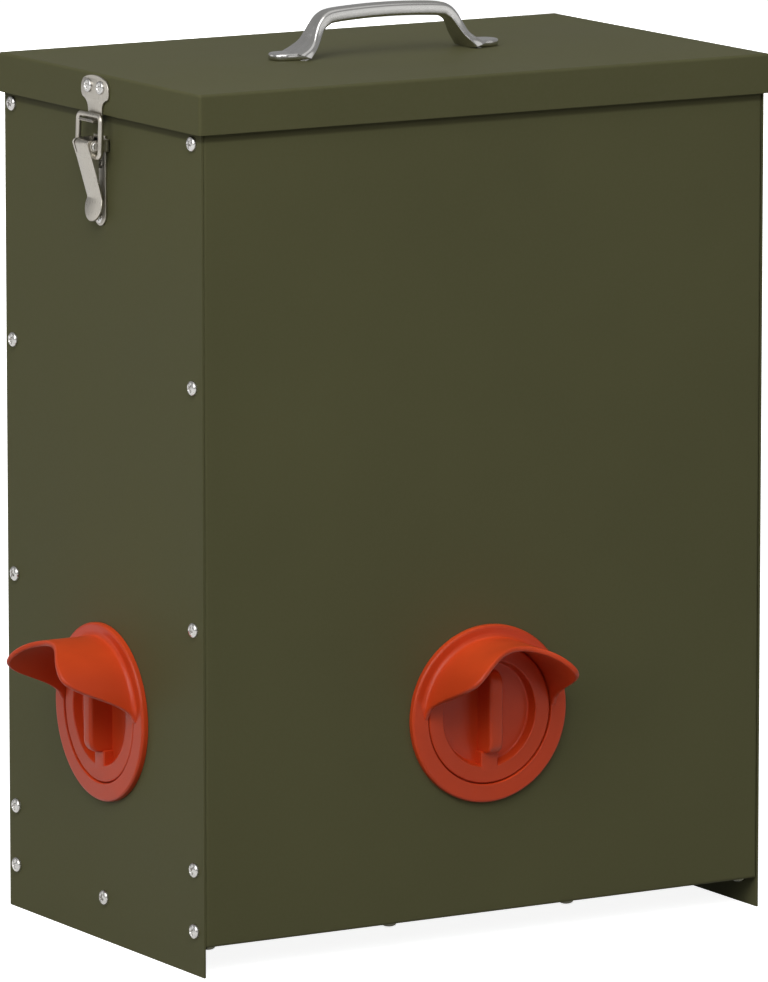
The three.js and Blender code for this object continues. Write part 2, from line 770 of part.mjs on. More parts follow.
// The keeper is riveted to the lid's skirt. Its foot curls out under the loop's bar.
function latchKeeper() {
  const plateOut = lidOverhang + seatGap + latchSheet / 2;
  const lip = barHeight - wireRadius - hookGap - latchSheet / 2;
  const reach = barOut + hookReach;
  const side = [
    [-plateOut, keeperTop + overrun],
    [-plateOut, lip],
    [-reach + hookCurl, lip],
    [-reach, lip + hookCurl],
  ];
  const sheetSolid = alongX(foldedSheet(side, latchSheet, keeperBend), -keeperHeadWidth, keeperHeadWidth);
  const neck = keeperNeckWidth / 2;
  const lobe = keeperHeadHeight / 2;
  const lobeX = keeperHeadWidth / 2 - lobe;
  const lobeZ = keeperTop - keeperLobeDrop;
  const neckTop = keeperTop - keeperHeadHeight - keeperTaper;
  const low = lip - 2 * latchSheet;
  const lowAngle = -Math.PI / 5;
  const highAngle = Math.PI / 3;
  const outline = new THREE.Shape();
  outline.moveTo(-neck, low);
  outline.lineTo(neck, low);
  outline.lineTo(neck, neckTop);
  outline.quadraticCurveTo(
    neck,
    neckTop + keeperTaper,
    lobeX + lobe * Math.cos(lowAngle),
    lobeZ + lobe * Math.sin(lowAngle),
  );
  outline.absarc(lobeX, lobeZ, lobe, lowAngle, highAngle);
  outline.quadraticCurveTo(
    0,
    keeperTop + keeperCrown,
    -lobeX + lobe * Math.cos(Math.PI - highAngle),
    lobeZ + lobe * Math.sin(highAngle),
  );
  outline.absarc(-lobeX, lobeZ, lobe, Math.PI - highAngle, Math.PI - lowAngle);
  outline.quadraticCurveTo(-neck, neckTop + keeperTaper, -neck, neckTop);
  const plate = sheetSolid.intersect(alongY(outline, -keeperDepth, 0));
  const rivetPlaces = [-keeperRivetPitch / 2, keeperRivetPitch / 2];
  const rivets = rivetPlaces.map((x) => rivet(lidOverhang).translate([x, 0, keeperRivetHeight]));
  return union([plate, ...rivets]);
}

// Lid: a folded tray over the panels, with holes for the keepers' rivets and the handle's screws

const handleScrewPlace = handleLength / 2 - padLength / 2;

function lidTray() {
  const width = caseWidth + 2 * lidOverhang;
  const length = caseDepth + 2 * lidOverhang;
  const lid = tray(width, length, lidSkirt, bendRadius).translate([0, 0, lidTopHeight]);
  const tools = [];
  for (const side of [-1, 1]) {
    for (const y of [-keeperRivetPitch / 2, keeperRivetPitch / 2]) {
      tools.push(rod(rivetHole, throughCut, 'x', (side * width) / 2, y, keeperRivetHeight));
    }
    const screwX = side * handleScrewPlace;
    tools.push(rod(handleScrewRadius + cutGap, throughCut, 'z', screwX, 0, lidTopHeight));
  }
  return cut(lid, tools);
}

// Handle: a cast bow on two pads, with the screws that hold it from inside the lid

// The bow is a skin over rings. Each ring spans from a point on the outer side to one on the inner side.
function bow(seat, padInner, shoulder) {
  const top = handleHeight - seatGap;
  const barRow = (x, droop) => {
    const outer = new THREE.Vector2(x, top - droop);
    return { outer, inner: new THREE.Vector2(x, top - droop - barThickness), width: barWidth };
  };
  const leg = legShares.map(([outerOut, outerUp, innerOut, innerUp, width]) => ({
    outer: new THREE.Vector2(padInner + padLength * outerOut, top * outerUp),
    inner: new THREE.Vector2(padInner + padLength * innerOut, top * innerUp),
    width: padWidth * width,
  }));
  const halfBow = [barRow(0, 0), barRow(shoulder / 2, barDroop / 4), barRow(shoulder, barDroop), ...leg];
  const flip = (point) => new THREE.Vector2(-point.x, point.y);
  const mirrored = halfBow.slice(1).reverse().map(({ outer, inner, width }) => (
    { outer: flip(outer), inner: flip(inner), width }
  ));
  const rings = [...mirrored, ...halfBow].map(({ outer, inner, width }) => {
    const middle = outer.clone().add(inner).multiplyScalar(1 / 2);
    const spoke = outer.clone().sub(middle);
    return Array.from({ length: handleSides }, (_, k) => {
      const angle = (-2 * Math.PI * k) / handleSides;
      const up = flattened(Math.cos(angle));
      const side = flattened(Math.sin(angle)) * (width / 2);
      return new THREE.Vector3(middle.x + spoke.x * up, side, seat + middle.y + spoke.y * up);
    });
  });
  return loft(rings);
}

// Pulls a cosine or a sine towards its ends, which gives an ellipse flatter sides and rounded corners.
function flattened(value) {
  return Math.sign(value) * Math.abs(value) ** barEdgeShare;
}

// The pad under the right leg: straight at its inner end, drawn in along both sides to a round tip
function pad(seat, padInner, end) {
  const tip = end - padTipRadius;
  const flare = padInner + (tip - padInner) * padFlareShare;
  const outline = new THREE.Shape();
  outline.moveTo(padInner, -padWidth / 2);
  outline.quadraticCurveTo(flare, -padTipRadius, tip, -padTipRadius);
  outline.absarc(tip, 0, padTipRadius, -Math.PI / 2, Math.PI / 2);
  outline.quadraticCurveTo(flare, padTipRadius, padInner, padWidth / 2);
  return alongZ(outline, seat, seat + padThickness);
}

function handle() {
  const seat = lidTopHeight + seatGap;
  const end = handleLength / 2;
  const padInner = end - padLength;
  const rightPad = pad(seat, padInner, end);
  const screws = [-1, 1].map((side) => {
    const under = lidTopHeight - sheet - seatGap;
    const x = side * handleScrewPlace;
    const shank = rod(handleScrewRadius, padThickness + sheet, 'z', x, 0, seat);
    const headMiddle = under - handleScrewHeadHeight / 2;
    return shank.add(rod(handleScrewHeadRadius, handleScrewHeadHeight, 'z', x, 0, headMiddle));
  });
  const aboveLid = block(-caseWidth, caseWidth, -caseDepth, caseDepth, seat, seat + 2 * handleHeight);
  const body = bow(seat, padInner, end - shoulderInset).intersect(aboveLid);
  return union([body, rightPad, rightPad.mirror([1, 0, 0]), ...screws]);
}

// The whole feeder

function addScrew(parent, name, length, place, turn) {
  const group = new THREE.Group();
  group.position.set(...place);
  group.rotation.x = turn;
  parent.add(group);
  addPiece(group, name, panScrew(length), screwSteel());
}

addPiece(feeder, 'floor_panel', floorPanel(), paintedSheet());
addPiece(feeder, 'lid', lidTray(), paintedSheet());
addPiece(feeder, 'lid_handle', handle(), latchSteel());

for (const side of Object.keys(walls)) {
  const group = wallGroup(side);
  const port = new THREE.Group();
  port.position.z = portHeight;
  group.add(port);
  addPiece(port, `${side}_port_hood`, portBody(), redPlastic());
  addPiece(port, `${side}_port_lock_ring`, lockRing(), redPlastic());
  addPiece(port, `${side}_port_plug`, plug(), redPlastic());
  if (side === 'front' || side === 'back') {
    addPiece(group, `${side}_panel`, longPanel(), paintedSheet());
    baseScrewPlaces.forEach((x, i) => {
      const place = [x, baseScrewInset, groundGap];
      addScrew(group, `${side}_base_screw_${i + 1}`, baseScrewLength, place, Math.PI / 2);
    });
  } else {
    addPiece(group, `${side}_side_panel`, sidePanel(), paintedSheet());
    addPiece(group, `${side}_latch_base`, latchBase(), latchSteel());
    addPiece(group, `${side}_latch_pin`, hingePin(), latchSteel());
    addPiece(group, `${side}_latch_lever`, latchLever(), latchSteel());
    addPiece(group, `${side}_latch_loop`, latchLoop(), latchSteel());
    addPiece(group, `${side}_latch_keeper`, latchKeeper(), latchSteel());
    const edge = caseDepth / 2 - screwEdge;
    rowHeights.forEach((z, row) => {
      addScrew(group, `${side}_row_a_screw_${row + 1}`, sideScrewLength, [-edge, 0, z], 0);
      addScrew(group, `${side}_row_b_screw_${row + 1}`, sideScrewLength, [edge, 0, z], 0);
    });
    [-edge, 0, edge].forEach((x, i) => {
      addScrew(group, `${side}_floor_screw_${i + 1}`, sideScrewLength, [x, 0, floorScrewHeight], 0);
    });
  }
}

export default feeder;
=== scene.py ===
"""Chicken feeder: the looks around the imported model.

Blender's lengths are in metres and its frame is the model's own: Z up with the ground at zero, X along the
wide front wall and Y into the depth. Pieces are drawn in millimetres in a wall's own frame: x to the right as
seen from outside, out away from the wall and z up.
"""
import json
import math

import bmesh
import bpy
import numpy as np
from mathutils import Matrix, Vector


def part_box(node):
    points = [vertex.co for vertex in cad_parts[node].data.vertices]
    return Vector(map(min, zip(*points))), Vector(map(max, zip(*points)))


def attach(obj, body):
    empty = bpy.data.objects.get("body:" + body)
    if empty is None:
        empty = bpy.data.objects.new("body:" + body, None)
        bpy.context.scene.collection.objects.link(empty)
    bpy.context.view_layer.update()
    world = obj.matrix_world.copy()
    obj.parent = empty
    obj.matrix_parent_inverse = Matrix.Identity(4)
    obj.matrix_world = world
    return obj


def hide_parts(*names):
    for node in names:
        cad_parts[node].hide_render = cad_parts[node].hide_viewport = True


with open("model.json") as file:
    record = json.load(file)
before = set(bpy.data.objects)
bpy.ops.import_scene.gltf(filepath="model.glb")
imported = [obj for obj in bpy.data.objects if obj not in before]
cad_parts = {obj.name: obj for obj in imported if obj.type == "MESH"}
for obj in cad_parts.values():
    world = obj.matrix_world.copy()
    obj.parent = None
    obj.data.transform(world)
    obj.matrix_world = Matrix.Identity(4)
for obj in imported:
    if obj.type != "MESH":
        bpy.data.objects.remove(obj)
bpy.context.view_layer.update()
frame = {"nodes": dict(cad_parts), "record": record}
scene = bpy.context.scene
MM = 0.001

# Camera, with its sensor and lens in millimetres

SENSOR_WIDTH = 36
FOCAL_LENGTH = 329.32
CAMERA_RANGE = 60
CAMERA_PLACE = (-2.29558, -3.85319, 0.98084)
CAMERA_AIM = (0, 0, 0.21451)


def add_object(name, data):
    """A new object in the scene for a mesh, a camera or a lamp."""
    thing = bpy.data.objects.new(name, data)
    scene.collection.objects.link(thing)
    return thing


def point_at(thing, place, aim):
    """Puts a camera or a lamp in its place and turns it to the point that it aims at."""
    thing.location = place
    thing.rotation_euler = (Vector(aim) - thing.location).to_track_quat("-Z", "Y").to_euler()


def place_camera():
    """A telephoto camera at the photograph's viewing angle."""
    data = bpy.data.cameras.new("camera")
    data.sensor_width = SENSOR_WIDTH
    data.lens = FOCAL_LENGTH
    data.clip_end = CAMERA_RANGE
    scene.camera = add_object("camera", data)
    point_at(scene.camera, CAMERA_PLACE, CAMERA_AIM)


place_camera()

# Sizes in millimetres, read from the model where a node's box gives them


def size_of(node):
    """The lowest and highest corner of a CAD node at rest, in millimetres."""
    low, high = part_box(node)
    return np.array(low) / MM, np.array(high) / MM


side_low, side_high = size_of("left_side_panel")
lid_low, lid_high = size_of("lid")
hood_low, hood_high = size_of("front_port_hood")
plug_low, plug_high = size_of("front_port_plug")
pin_low, pin_high = size_of("right_latch_pin")
handle_high = size_of("lid_handle")[1]

HALF_WIDTH = -side_low[0]
HALF_DEPTH = side_high[1]
SHEET = 1.0
STRIP_EDGE = 0.3
PLATE_EDGE = 0.25
LEAST_CORNER = 0.1
SEAT_GAP = 0.05
WALLS = {
    "front": (0, HALF_DEPTH),
    "right": (math.pi / 2, HALF_WIDTH),
    "back": (math.pi, HALF_DEPTH),
    "left": (-math.pi / 2, HALF_WIDTH),
}

# Sizes of the feeding ports
FLANGE_RADIUS = hood_high[0]
PORT_HEIGHT = (hood_low[2] + hood_high[2]) / 2
FLANGE_THICKNESS = 3.5
FLANGE_ROUND = 1.4
FLANGE_BORE_ROUND = 0.5
FLANGE_BACK_ROUND = 0.3
BORE_RADIUS = 35.8
HOOD_WALL = 2.8
HOOD_TOP_REACH = 31.5
HOOD_TIP_REACH = -hood_low[1] - HALF_DEPTH
HOOD_TIP_ANGLE = 45
HOOD_ROOT_REACH = FLANGE_THICKNESS + 1.2
HOOD_FALL_POWERS = (1.2, 2.6)
HOOD_FADE = 5
HOOD_SINK = 0.4
HOOD_FOOT_DEPTH = 0.6
HOOD_LAP = 0.02
HOOD_FILLET = 2.4
FILLET_LEAST = 0.05
FILLET_SPARE = 0.2
HOOD_STEPS = 160
SPIGOT_STEP = 2.6
SPIGOT_WALL = 3.4
SPIGOT_END = -(hood_high[1] + HALF_DEPTH)
PORT_SIDES = 160

# Sizes of the plugs
PLUG_RADIUS = plug_high[0]
PLUG_SIDES = 128
PLUG_SEAT = 0.3
PLUG_RIM = 3.1
PLUG_RIM_ROUNDS = (1.0, 0.7)
RECESS_RADIUS = 26.9
RECESS_DRAFT = 1.2
RECESS_FLOOR = -2.3
RECESS_ROUND = 1.2
PLUG_FLOOR = 2.5
PLUG_SKIRT_GAP = 0.6
PLUG_SKIRT_WALL = 2.4
PLUG_SKIRT_ROUND = 0.4
PLUG_SKIRT_END = -(plug_high[1] + HALF_DEPTH)
GRIP_WIDTH = 7.8
GRIP_OUT = -plug_low[1] - HALF_DEPTH
GRIP_TOP_REACH = 22.3
GRIP_LOW_REACH = 20.0
GRIP_ROUND = 6.5
GRIP_EDGE = 1.9
BRIDGE_WIDTH = 9.6
BRIDGE_END = 29.5
BRIDGE_ROUND = 1.0
BRIDGE_EDGE = 0.8
BRIDGE_LAP = 1
BRIDGE_STAND = 0.02

# Sizes of the screws and rivets, with the turns of their crosses in degrees
SCREW_RADIUS = 3.8
SCREW_SHANK = 1.9
SCREW_HEIGHT = 2.6
SCREW_TURN = 137.5
RIVET_RADIUS = 3.4
RIVET_HEIGHT = 1.6
RIVET_SHANK_END = -0.5
RIVET_TURN = math.degrees(0.4)
BASE_RIVET_LESS = 0.6

# A pan head: shares of its radius and height, but for the count of its sides and the power of its dome
HEAD_SIDES = 72
HEAD_RINGS = np.append(np.linspace(1, 0.55, 9), np.linspace(0.52, 0.03, 20))
HEAD_RIM = 0.35
HEAD_POWER = 2.4
CROSS_HALF_WIDTH = 0.14
CROSS_REACH = 0.52
CROSS_SOFTNESS = 0.05
CROSS_DEPTH = 0.6
CROSS_TAPER = 0.6

# Sizes of the toggle latches
PIN_HEIGHT = (pin_low[2] + pin_high[2]) / 2
PIN_OUT = (pin_low[0] + pin_high[0]) / 2 - HALF_WIDTH
PIN_RADIUS = 1.2
PIN_HEAD_RADIUS = 2.3
PIN_HEAD_HEIGHT = 0.65
PIN_HEAD_ROUND = 0.5
PIN_HEAD_GAP = 0.02
PIN_SIDES = 32
PIVOT_DISTANCE = 5.6
PIVOT_LEAN = math.radians(10)
PIVOT_OUT = PIN_OUT - PIVOT_DISTANCE * math.sin(PIVOT_LEAN)
PIVOT_HEIGHT = PIN_HEIGHT - PIVOT_DISTANCE * math.cos(PIVOT_LEAN)
LATCH_SHEET = 1.2
LEVER_WIDTH = 15.2
LEVER_EAR_RADIUS = 2.8
LEVER_EAR_DROP = 19
LEVER_EAR_CORNER = 2
LEVER_PLATE_OUT = PIN_OUT + 3.7
LEVER_RELIEF = 1.9
LEVER_RELIEF_DROP = 4.4
LEVER_RELIEF_STEP = 0.4
LEVER_ROLL_REACH = 1.7
LEVER_ROLL_BEND = 1.5
LEVER_ROLL_DROP = 0.7
LEVER_ROLL_TAPER = 0.7
LEVER_KINK_OUT = 3.5
LEVER_KINK_DROP = 26.8
LEVER_KINK_WIDTH = 14.6
LEVER_KINK_BEND = 3.6
LEVER_TAB_WIDTH = 16.4
LEVER_TAB_OUT = 5.8
LEVER_TAB_DROP = 38.3
LEVER_PATH_STEP = 0.2
BASE_WIDTH = 11.5
BASE_DROP = 40.8
BASE_RISE = 4.5
BASE_EAR_RADIUS = 3.0
BASE_EAR_GAP = 0.3
BASE_RIVET_DROPS = (9.5, BASE_DROP - 4)
WIRE_RADIUS = 1.4
WIRE_CORNER = 2.6
WIRE_END_INSET = 0.2
WIRE_PATH_STEP = 0.35
WIRE_SIDES = 16
LOOP_WIDTH = 25.4
BAR_HEIGHT = PIN_HEIGHT + 14.7
BAR_OUT = 6.3
KEEPER_OUT = 3.15
KEEPER_TOP = lid_high[2] - 0.8
KEEPER_HEAD_WIDTH = 27.7
KEEPER_HEAD_HEIGHT = 13
KEEPER_LOBE_DROP = 7.6
KEEPER_LOBE_ARC = (60, -36)
KEEPER_CROWN = 1.6
KEEPER_CROWN_STEPS = 40
KEEPER_NECK_WIDTH = 13.5
KEEPER_TAPER = 5
KEEPER_LIP = BAR_HEIGHT - 2.6
KEEPER_REACH = 8.9
KEEPER_CURL = 0.5
KEEPER_BENDS = (1, 0.6)
KEEPER_PATH_STEP = 0.15
KEEPER_RIVET_PITCH = 12.4
KEEPER_RIVET_DROP = 5.8

# Sizes of the lid and its handle
LID_HALF_WIDTH = lid_high[0]
LID_HALF_DEPTH = lid_high[1]
LID_TOP = lid_high[2]
LID_SKIRT_END = lid_low[2]
LID_EDGE = 0.2
LID_BEND = 1.5
LID_CORNER = 1.6
LID_FLAT_INSET = 40
HANDLE_END = handle_high[0]
HANDLE_RISE = handle_high[2] - LID_TOP - SEAT_GAP
HANDLE_FOOT = 0.1
HANDLE_SIDES = 48
HANDLE_STEPS = 8
BAR_WIDTH = 10
BAR_THICKNESS = 7
BAR_DROOP = 1.4
BAR_OUTER_SHARE = 0.6
BAR_INNER_SHARE = 0.28
BAR_SHOULDER = HANDLE_END - 35
PAD_LENGTH = 19.4
PAD_WIDTH = 22
PAD_THICKNESS = 3.6
PAD_TIP_RADIUS = 7.5
PAD_CORNER = 3.6
PAD_EDGE = 1.1
PAD_FLARE_SHARE = 0.45
PAD_INNER = HANDLE_END - PAD_LENGTH

# A leg of the handle, from its shoulder down: a point on its outer side and one on its inner side, as the way
# out from the pad's inner end in shares of its length and the height in shares of the rise, then the width as
# a share of the pad's
LEG_SHARES = (
    (-0.48, 0.86, -0.64, 0.63, 0.46),
    (-0.28, 0.7, -0.5, 0.56, 0.49),
    (-0.155, 0.53, -0.385, 0.445, 0.58),
    (-0.02, 0.345, -0.25, 0.28, 0.74),
    (0.175, 0.225, -0.09, 0.135, 0.92),
    (0.44, 0.13, 0.02, 0.02, 1.0),
)

# Shader trees

# The span that a noise mostly keeps to
NOISE_SPAN = (0.3, 0.7)

# The upward share of a normal at which dust, and painted top light, begin to hold
UPWARD_SLOPE = 0.5


def add_node(tree, kind, values=None, **settings):
    """Adds a node, sets its properties, and gives its input sockets values or links."""
    node = tree.nodes.new(kind)
    for key, value in settings.items():
        setattr(node, key, value)
    for key, value in (values or {}).items():
        if isinstance(value, bpy.types.NodeSocket):
            tree.links.new(value, node.inputs[key])
        else:
            node.inputs[key].default_value = value
    return node


def z_part(tree, vector):
    """The upward part of a place or a direction."""
    return add_node(tree, "ShaderNodeSeparateXYZ", {0: vector}).outputs["Z"]


def maths(tree, operation, *values):
    """Numbers added or multiplied."""
    return add_node(tree, "ShaderNodeMath", dict(enumerate(values)), operation=operation).outputs[0]


def noise(tree, vector, scale, detail, roughness):
    """A noise between 0 and 1."""
    values = {"Vector": vector, "Scale": scale, "Detail": detail, "Roughness": roughness}
    return add_node(tree, "ShaderNodeTexNoise", values).outputs["Fac"]


def smooth_step(tree, value, low, high):
    """A number that goes smoothly from 0 where value is low to 1 where value is high."""
    values = {"Value": value, "From Min": low, "From Max": high}
    return add_node(tree, "ShaderNodeMapRange", values, interpolation_type="SMOOTHSTEP").outputs["Result"]


def between(tree, value, low, high, span=NOISE_SPAN):
    """A number that goes evenly from low to high as value goes over its span."""
    values = {"Value": value, "From Min": span[0], "From Max": span[1], "To Min": low, "To Max": high}
    return add_node(tree, "ShaderNodeMapRange", values).outputs["Result"]


def mix_colour(tree, share, first, second):
    """A colour between two others, by a mask. The node takes colours at 6 and 7 and gives one at 2."""
    first, second = (
        colour if isinstance(colour, bpy.types.NodeSocket) else (*colour, 1) for colour in (first, second)
    )
    values = {"Factor": share, 6: first, 7: second}
    return add_node(tree, "ShaderNodeMix", values, data_type="RGBA").outputs[2]


def new_group(name, numbers, masks):
    """A shader group that takes coordinates and numbers and gives masks. Returns the group, the sockets that
    it is given and the sockets of its result."""
    group = bpy.data.node_groups.new(name, "ShaderNodeTree")
    group.interface.new_socket("Vector", in_out="INPUT", socket_type="NodeSocketVector")
    for labels, direction in ((numbers, "INPUT"), (masks, "OUTPUT")):
        for label in labels:
            group.interface.new_socket(label, in_out=direction, socket_type="NodeSocketFloat")
    return group, group.nodes.new("NodeGroupInput").outputs, group.nodes.new("NodeGroupOutput").inputs


def two_scale_grain():
    """A fine grain and a broad unevenness, each a noise between 0 and 1."""
    group, given, result = new_group("two_scale_grain", ["Fine Scale", "Broad Scale"], ["Fine", "Broad"])
    for label, detail in (("Fine", 2), ("Broad", 3)):
        grain = noise(group, given["Vector"], given[f"{label} Scale"], detail, roughness=0.55)
        group.links.new(grain, result[label])
    return group


def scuff_marks():
    """Marks where a rough noise rises over a level, as a mask between 0 and 1 that fades in over a spread."""
    group, given, result = new_group("scuff_marks", ["Scale", "Level", "Spread"], ["Mask"])
    rough = noise(group, given["Vector"], given["Scale"], detail=5, roughness=0.7)
    high = maths(group, "ADD", given["Level"], given["Spread"])
    group.links.new(smooth_step(group, rough, given["Level"], high), result["Mask"])
    return group


def upward_dust_and_light():
    """Dust, or painted top light, on what faces up: the upward share of the normal, broken up by a noise."""
    group, given, result = new_group("upward_dust_and_light", ["Scale", "Amount"], ["Mask"])
    shape = add_node(group, "ShaderNodeNewGeometry")
    upward = smooth_step(group, z_part(group, shape.outputs["Normal"]), UPWARD_SLOPE, 1)
    patches = noise(group, given["Vector"], given["Scale"], detail=6, roughness=0.65)
    patchy = maths(group, "MULTIPLY", upward, patches)
    group.links.new(maths(group, "MULTIPLY", patchy, given["Amount"]), result["Mask"])
    return group


def height_ramp():
    """A smooth step over the height, from 0 at one height to 1 at another."""
    group, given, result = new_group("height_ramp", ["From", "To"], ["Mask"])
    ramp = smooth_step(group, z_part(group, given["Vector"]), given["From"], given["To"])
    group.links.new(ramp, result["Mask"])
    return group


GRAIN = two_scale_grain()
SCUFFS = scuff_marks()
UPWARD_DUST_AND_LIGHT = upward_dust_and_light()
RAMP = height_ramp()


def place_group(tree, group, coords, numbers):
    """The sockets of a shared group's result, for some coordinates and numbers."""
    return add_node(tree, "ShaderNodeGroup", {"Vector": coords, **numbers}, node_tree=group).outputs


def new_material(name):
    """A material with a Principled shader. Returns the material, its tree, the shader and the coordinates."""
    material = bpy.data.materials.new(name)
    material.use_nodes = True
    tree = material.node_tree
    coords = add_node(tree, "ShaderNodeTexCoord")
    return material, tree, tree.nodes["Principled BSDF"], coords.outputs["Object"]


def dress(tree, shader, colour, roughness, height, bumps, plain):
    """Gives a shader its colour, its roughness, bumps from a height between 0 and 1, and plain values."""
    bump = add_node(tree, "ShaderNodeBump", {"Height": height, **bumps})
    sockets = {"Base Color": colour, "Roughness": roughness, "Normal": bump.outputs["Normal"]}
    for label, socket in sockets.items():
        tree.links.new(socket, shader.inputs[label])
    for label, value in plain.items():
        shader.inputs[label].default_value = value


# Finishes: linear colours, scales of patterns in waves to the metre, and lengths in metres

METAL = {"Metallic": 1}

OLIVE_DARK = (0.101, 0.099, 0.044)
OLIVE_LIGHT = (0.114, 0.112, 0.050)
OLIVE_SPECK = (0.135, 0.134, 0.08)
OLIVE_DUST = (0.22, 0.21, 0.17)
# Colour and height of a band of painted shade on the walls just under the lid's edge
OLIVE_PAINTED_SHADE = (0.062, 0.06, 0.026)
OLIVE_GRAIN = {"Fine Scale": 620, "Broad Scale": 7}
OLIVE_SPECK_SHARE = 0.12
OLIVE_DUSTING = {"Scale": 18, "Amount": 0.03}
OLIVE_ROUGHNESS = (0.56, 0.66)
OLIVE_BUMPS = {"Strength": 0.25, "Distance": 0.00006}
OLIVE_SHINE = {"Specular IOR Level": 0.1}
SHADE_BAND_DROP = 0.0045
SHADE_BAND_FADE = 0.0016


def olive_paint():
    """Satin powder coat: a fine orange-peel grain, faint clouding, a little dust on what faces up and a band
    of painted shade on the walls right under the lid's edge, where the lid's shadow falls."""
    material, tree, shader, coords = new_material("olive_paint")
    grain = place_group(tree, GRAIN, coords, OLIVE_GRAIN)
    cloud = mix_colour(tree, between(tree, grain["Broad"], 0, 1), OLIVE_DARK, OLIVE_LIGHT)
    speck = mix_colour(tree, between(tree, grain["Fine"], 0, OLIVE_SPECK_SHARE), cloud, OLIVE_SPECK)
    dust = place_group(tree, UPWARD_DUST_AND_LIGHT, coords, OLIVE_DUSTING)
    dusty = mix_colour(tree, dust["Mask"], speck, OLIVE_DUST)
    # A band of painted shade on the walls just under the lid's edge
    edge = LID_SKIRT_END * MM
    foot = edge - SHADE_BAND_DROP
    below = place_group(tree, RAMP, coords, {"From": foot, "To": foot + SHADE_BAND_FADE})
    above = place_group(tree, RAMP, coords, {"From": edge, "To": edge - SHADE_BAND_FADE})
    line = maths(tree, "MULTIPLY", below["Mask"], above["Mask"])
    shade_painted = mix_colour(tree, line, dusty, OLIVE_PAINTED_SHADE)
    roughness = between(tree, grain["Broad"], *OLIVE_ROUGHNESS)
    dress(tree, shader, shade_painted, roughness, grain["Fine"], OLIVE_BUMPS, OLIVE_SHINE)
    return material


RED_DEEP = (0.58, 0.053, 0.010)
RED_BRIGHT = (0.65, 0.061, 0.012)
RED_WORN = (0.66, 0.085, 0.024)
# A brighter red on what faces up: painted top light
RED_PAINTED_TOP_LIGHT = (0.93, 0.10, 0.02)
RED_GRAIN = {"Fine Scale": 1500, "Broad Scale": 22}
RED_SCUFFS = {"Scale": 90, "Level": 0.66, "Spread": 0.08}
RED_SCUFF_SHARE = 0.25
RED_TOP_LIGHTING = {"Scale": 30, "Amount": 1}
RED_ROUGHNESS = (0.32, 0.42)
RED_BUMPS = {"Strength": 0.2, "Distance": 0.00004}
RED_SHINE = {"Specular IOR Level": 0.3}


def red_plastic():
    """Satin moulded plastic: a very fine grain, faint flow clouding, a few dull handling marks and a
    brighter tone on what faces up, which is painted top light."""
    material, tree, shader, coords = new_material("red_plastic")
    grain = place_group(tree, GRAIN, coords, RED_GRAIN)
    cloud = mix_colour(tree, between(tree, grain["Broad"], 0, 1), RED_DEEP, RED_BRIGHT)
    scuffs = place_group(tree, SCUFFS, coords, RED_SCUFFS)
    marked = mix_colour(tree, between(tree, scuffs["Mask"], 0, RED_SCUFF_SHARE), cloud, RED_WORN)
    # Painted top light: brighter on what faces up
    top_lit = place_group(tree, UPWARD_DUST_AND_LIGHT, coords, RED_TOP_LIGHTING)
    lit_on_top = mix_colour(tree, top_lit["Mask"], marked, RED_PAINTED_TOP_LIGHT)
    roughness = between(tree, grain["Broad"], *RED_ROUGHNESS)
    dress(tree, shader, lit_on_top, roughness, grain["Fine"], RED_BUMPS, RED_SHINE)
    return material


def drawn_out(tree, coords, scale):
    """Coordinates stretched along one axis, for brushed and wiped metal."""
    return add_node(tree, "ShaderNodeMapping", {"Vector": coords, "Scale": scale}).outputs["Vector"]


STEEL_DARK = (0.46, 0.43, 0.38)
STEEL_LIGHT = (0.54, 0.51, 0.45)
STEEL_SCUFF = (0.72, 0.70, 0.66)
STEEL_BRUSHING = (1, 1, 0.05)
STEEL_GRAIN = {"Fine Scale": 1800, "Broad Scale": 90}
STEEL_SCUFFS = {"Scale": 260, "Level": 0.64, "Spread": 0.08}
STEEL_ROUGHNESS = (0.26, 0.38)
STEEL_BUMPS = {"Strength": 0.15, "Distance": 0.00003}


def latch_steel():
    """Satin stainless sheet and wire: brushing along the height and a few brighter scuffs."""
    material, tree, shader, coords = new_material("latch_steel")
    grain = place_group(tree, GRAIN, drawn_out(tree, coords, STEEL_BRUSHING), STEEL_GRAIN)
    tone = mix_colour(tree, between(tree, grain["Fine"], 0, 1), STEEL_DARK, STEEL_LIGHT)
    scuffs = place_group(tree, SCUFFS, coords, STEEL_SCUFFS)
    marked = mix_colour(tree, scuffs["Mask"], tone, STEEL_SCUFF)
    roughness = between(tree, grain["Fine"], *STEEL_ROUGHNESS)
    dress(tree, shader, marked, roughness, grain["Fine"], STEEL_BUMPS, METAL)
    return material


CAST_DARK = (0.60, 0.59, 0.57)
CAST_LIGHT = (0.68, 0.67, 0.65)
CAST_WIPING = (0.08, 1, 1)
CAST_GRAIN = {"Fine Scale": 1400, "Broad Scale": 120}
CAST_ROUGHNESS = (0.16, 0.24)
CAST_BUMPS = {"Strength": 0.2, "Distance": 0.00005}


def cast_handle():
    """Polished cast metal: slightly uneven polish and fine wiping marks along the bar."""
    material, tree, shader, coords = new_material("cast_handle")
    grain = place_group(tree, GRAIN, drawn_out(tree, coords, CAST_WIPING), CAST_GRAIN)
    tone = mix_colour(tree, between(tree, grain["Broad"], 0, 1), CAST_DARK, CAST_LIGHT)
    roughness = between(tree, grain["Fine"], *CAST_ROUGHNESS)
    dress(tree, shader, tone, roughness, grain["Broad"], CAST_BUMPS, METAL)
    return material


ZINC_DARK = (0.55, 0.54, 0.52)
ZINC_LIGHT = (0.66, 0.65, 0.63)
# Colour and height of painted shade on the screws low down under the base
ZINC_PAINTED_SHADE = (0.10, 0.098, 0.07)
ZINC_GRAIN = {"Fine Scale": 2600, "Broad Scale": 300}
ZINC_ROUGHNESS = (0.18, 0.3)
ZINC_BUMPS = {"Strength": 0.15, "Distance": 0.00002}
UNDER_BASE_HEIGHT = 0.0165
UNDER_BASE_FADE = 0.001


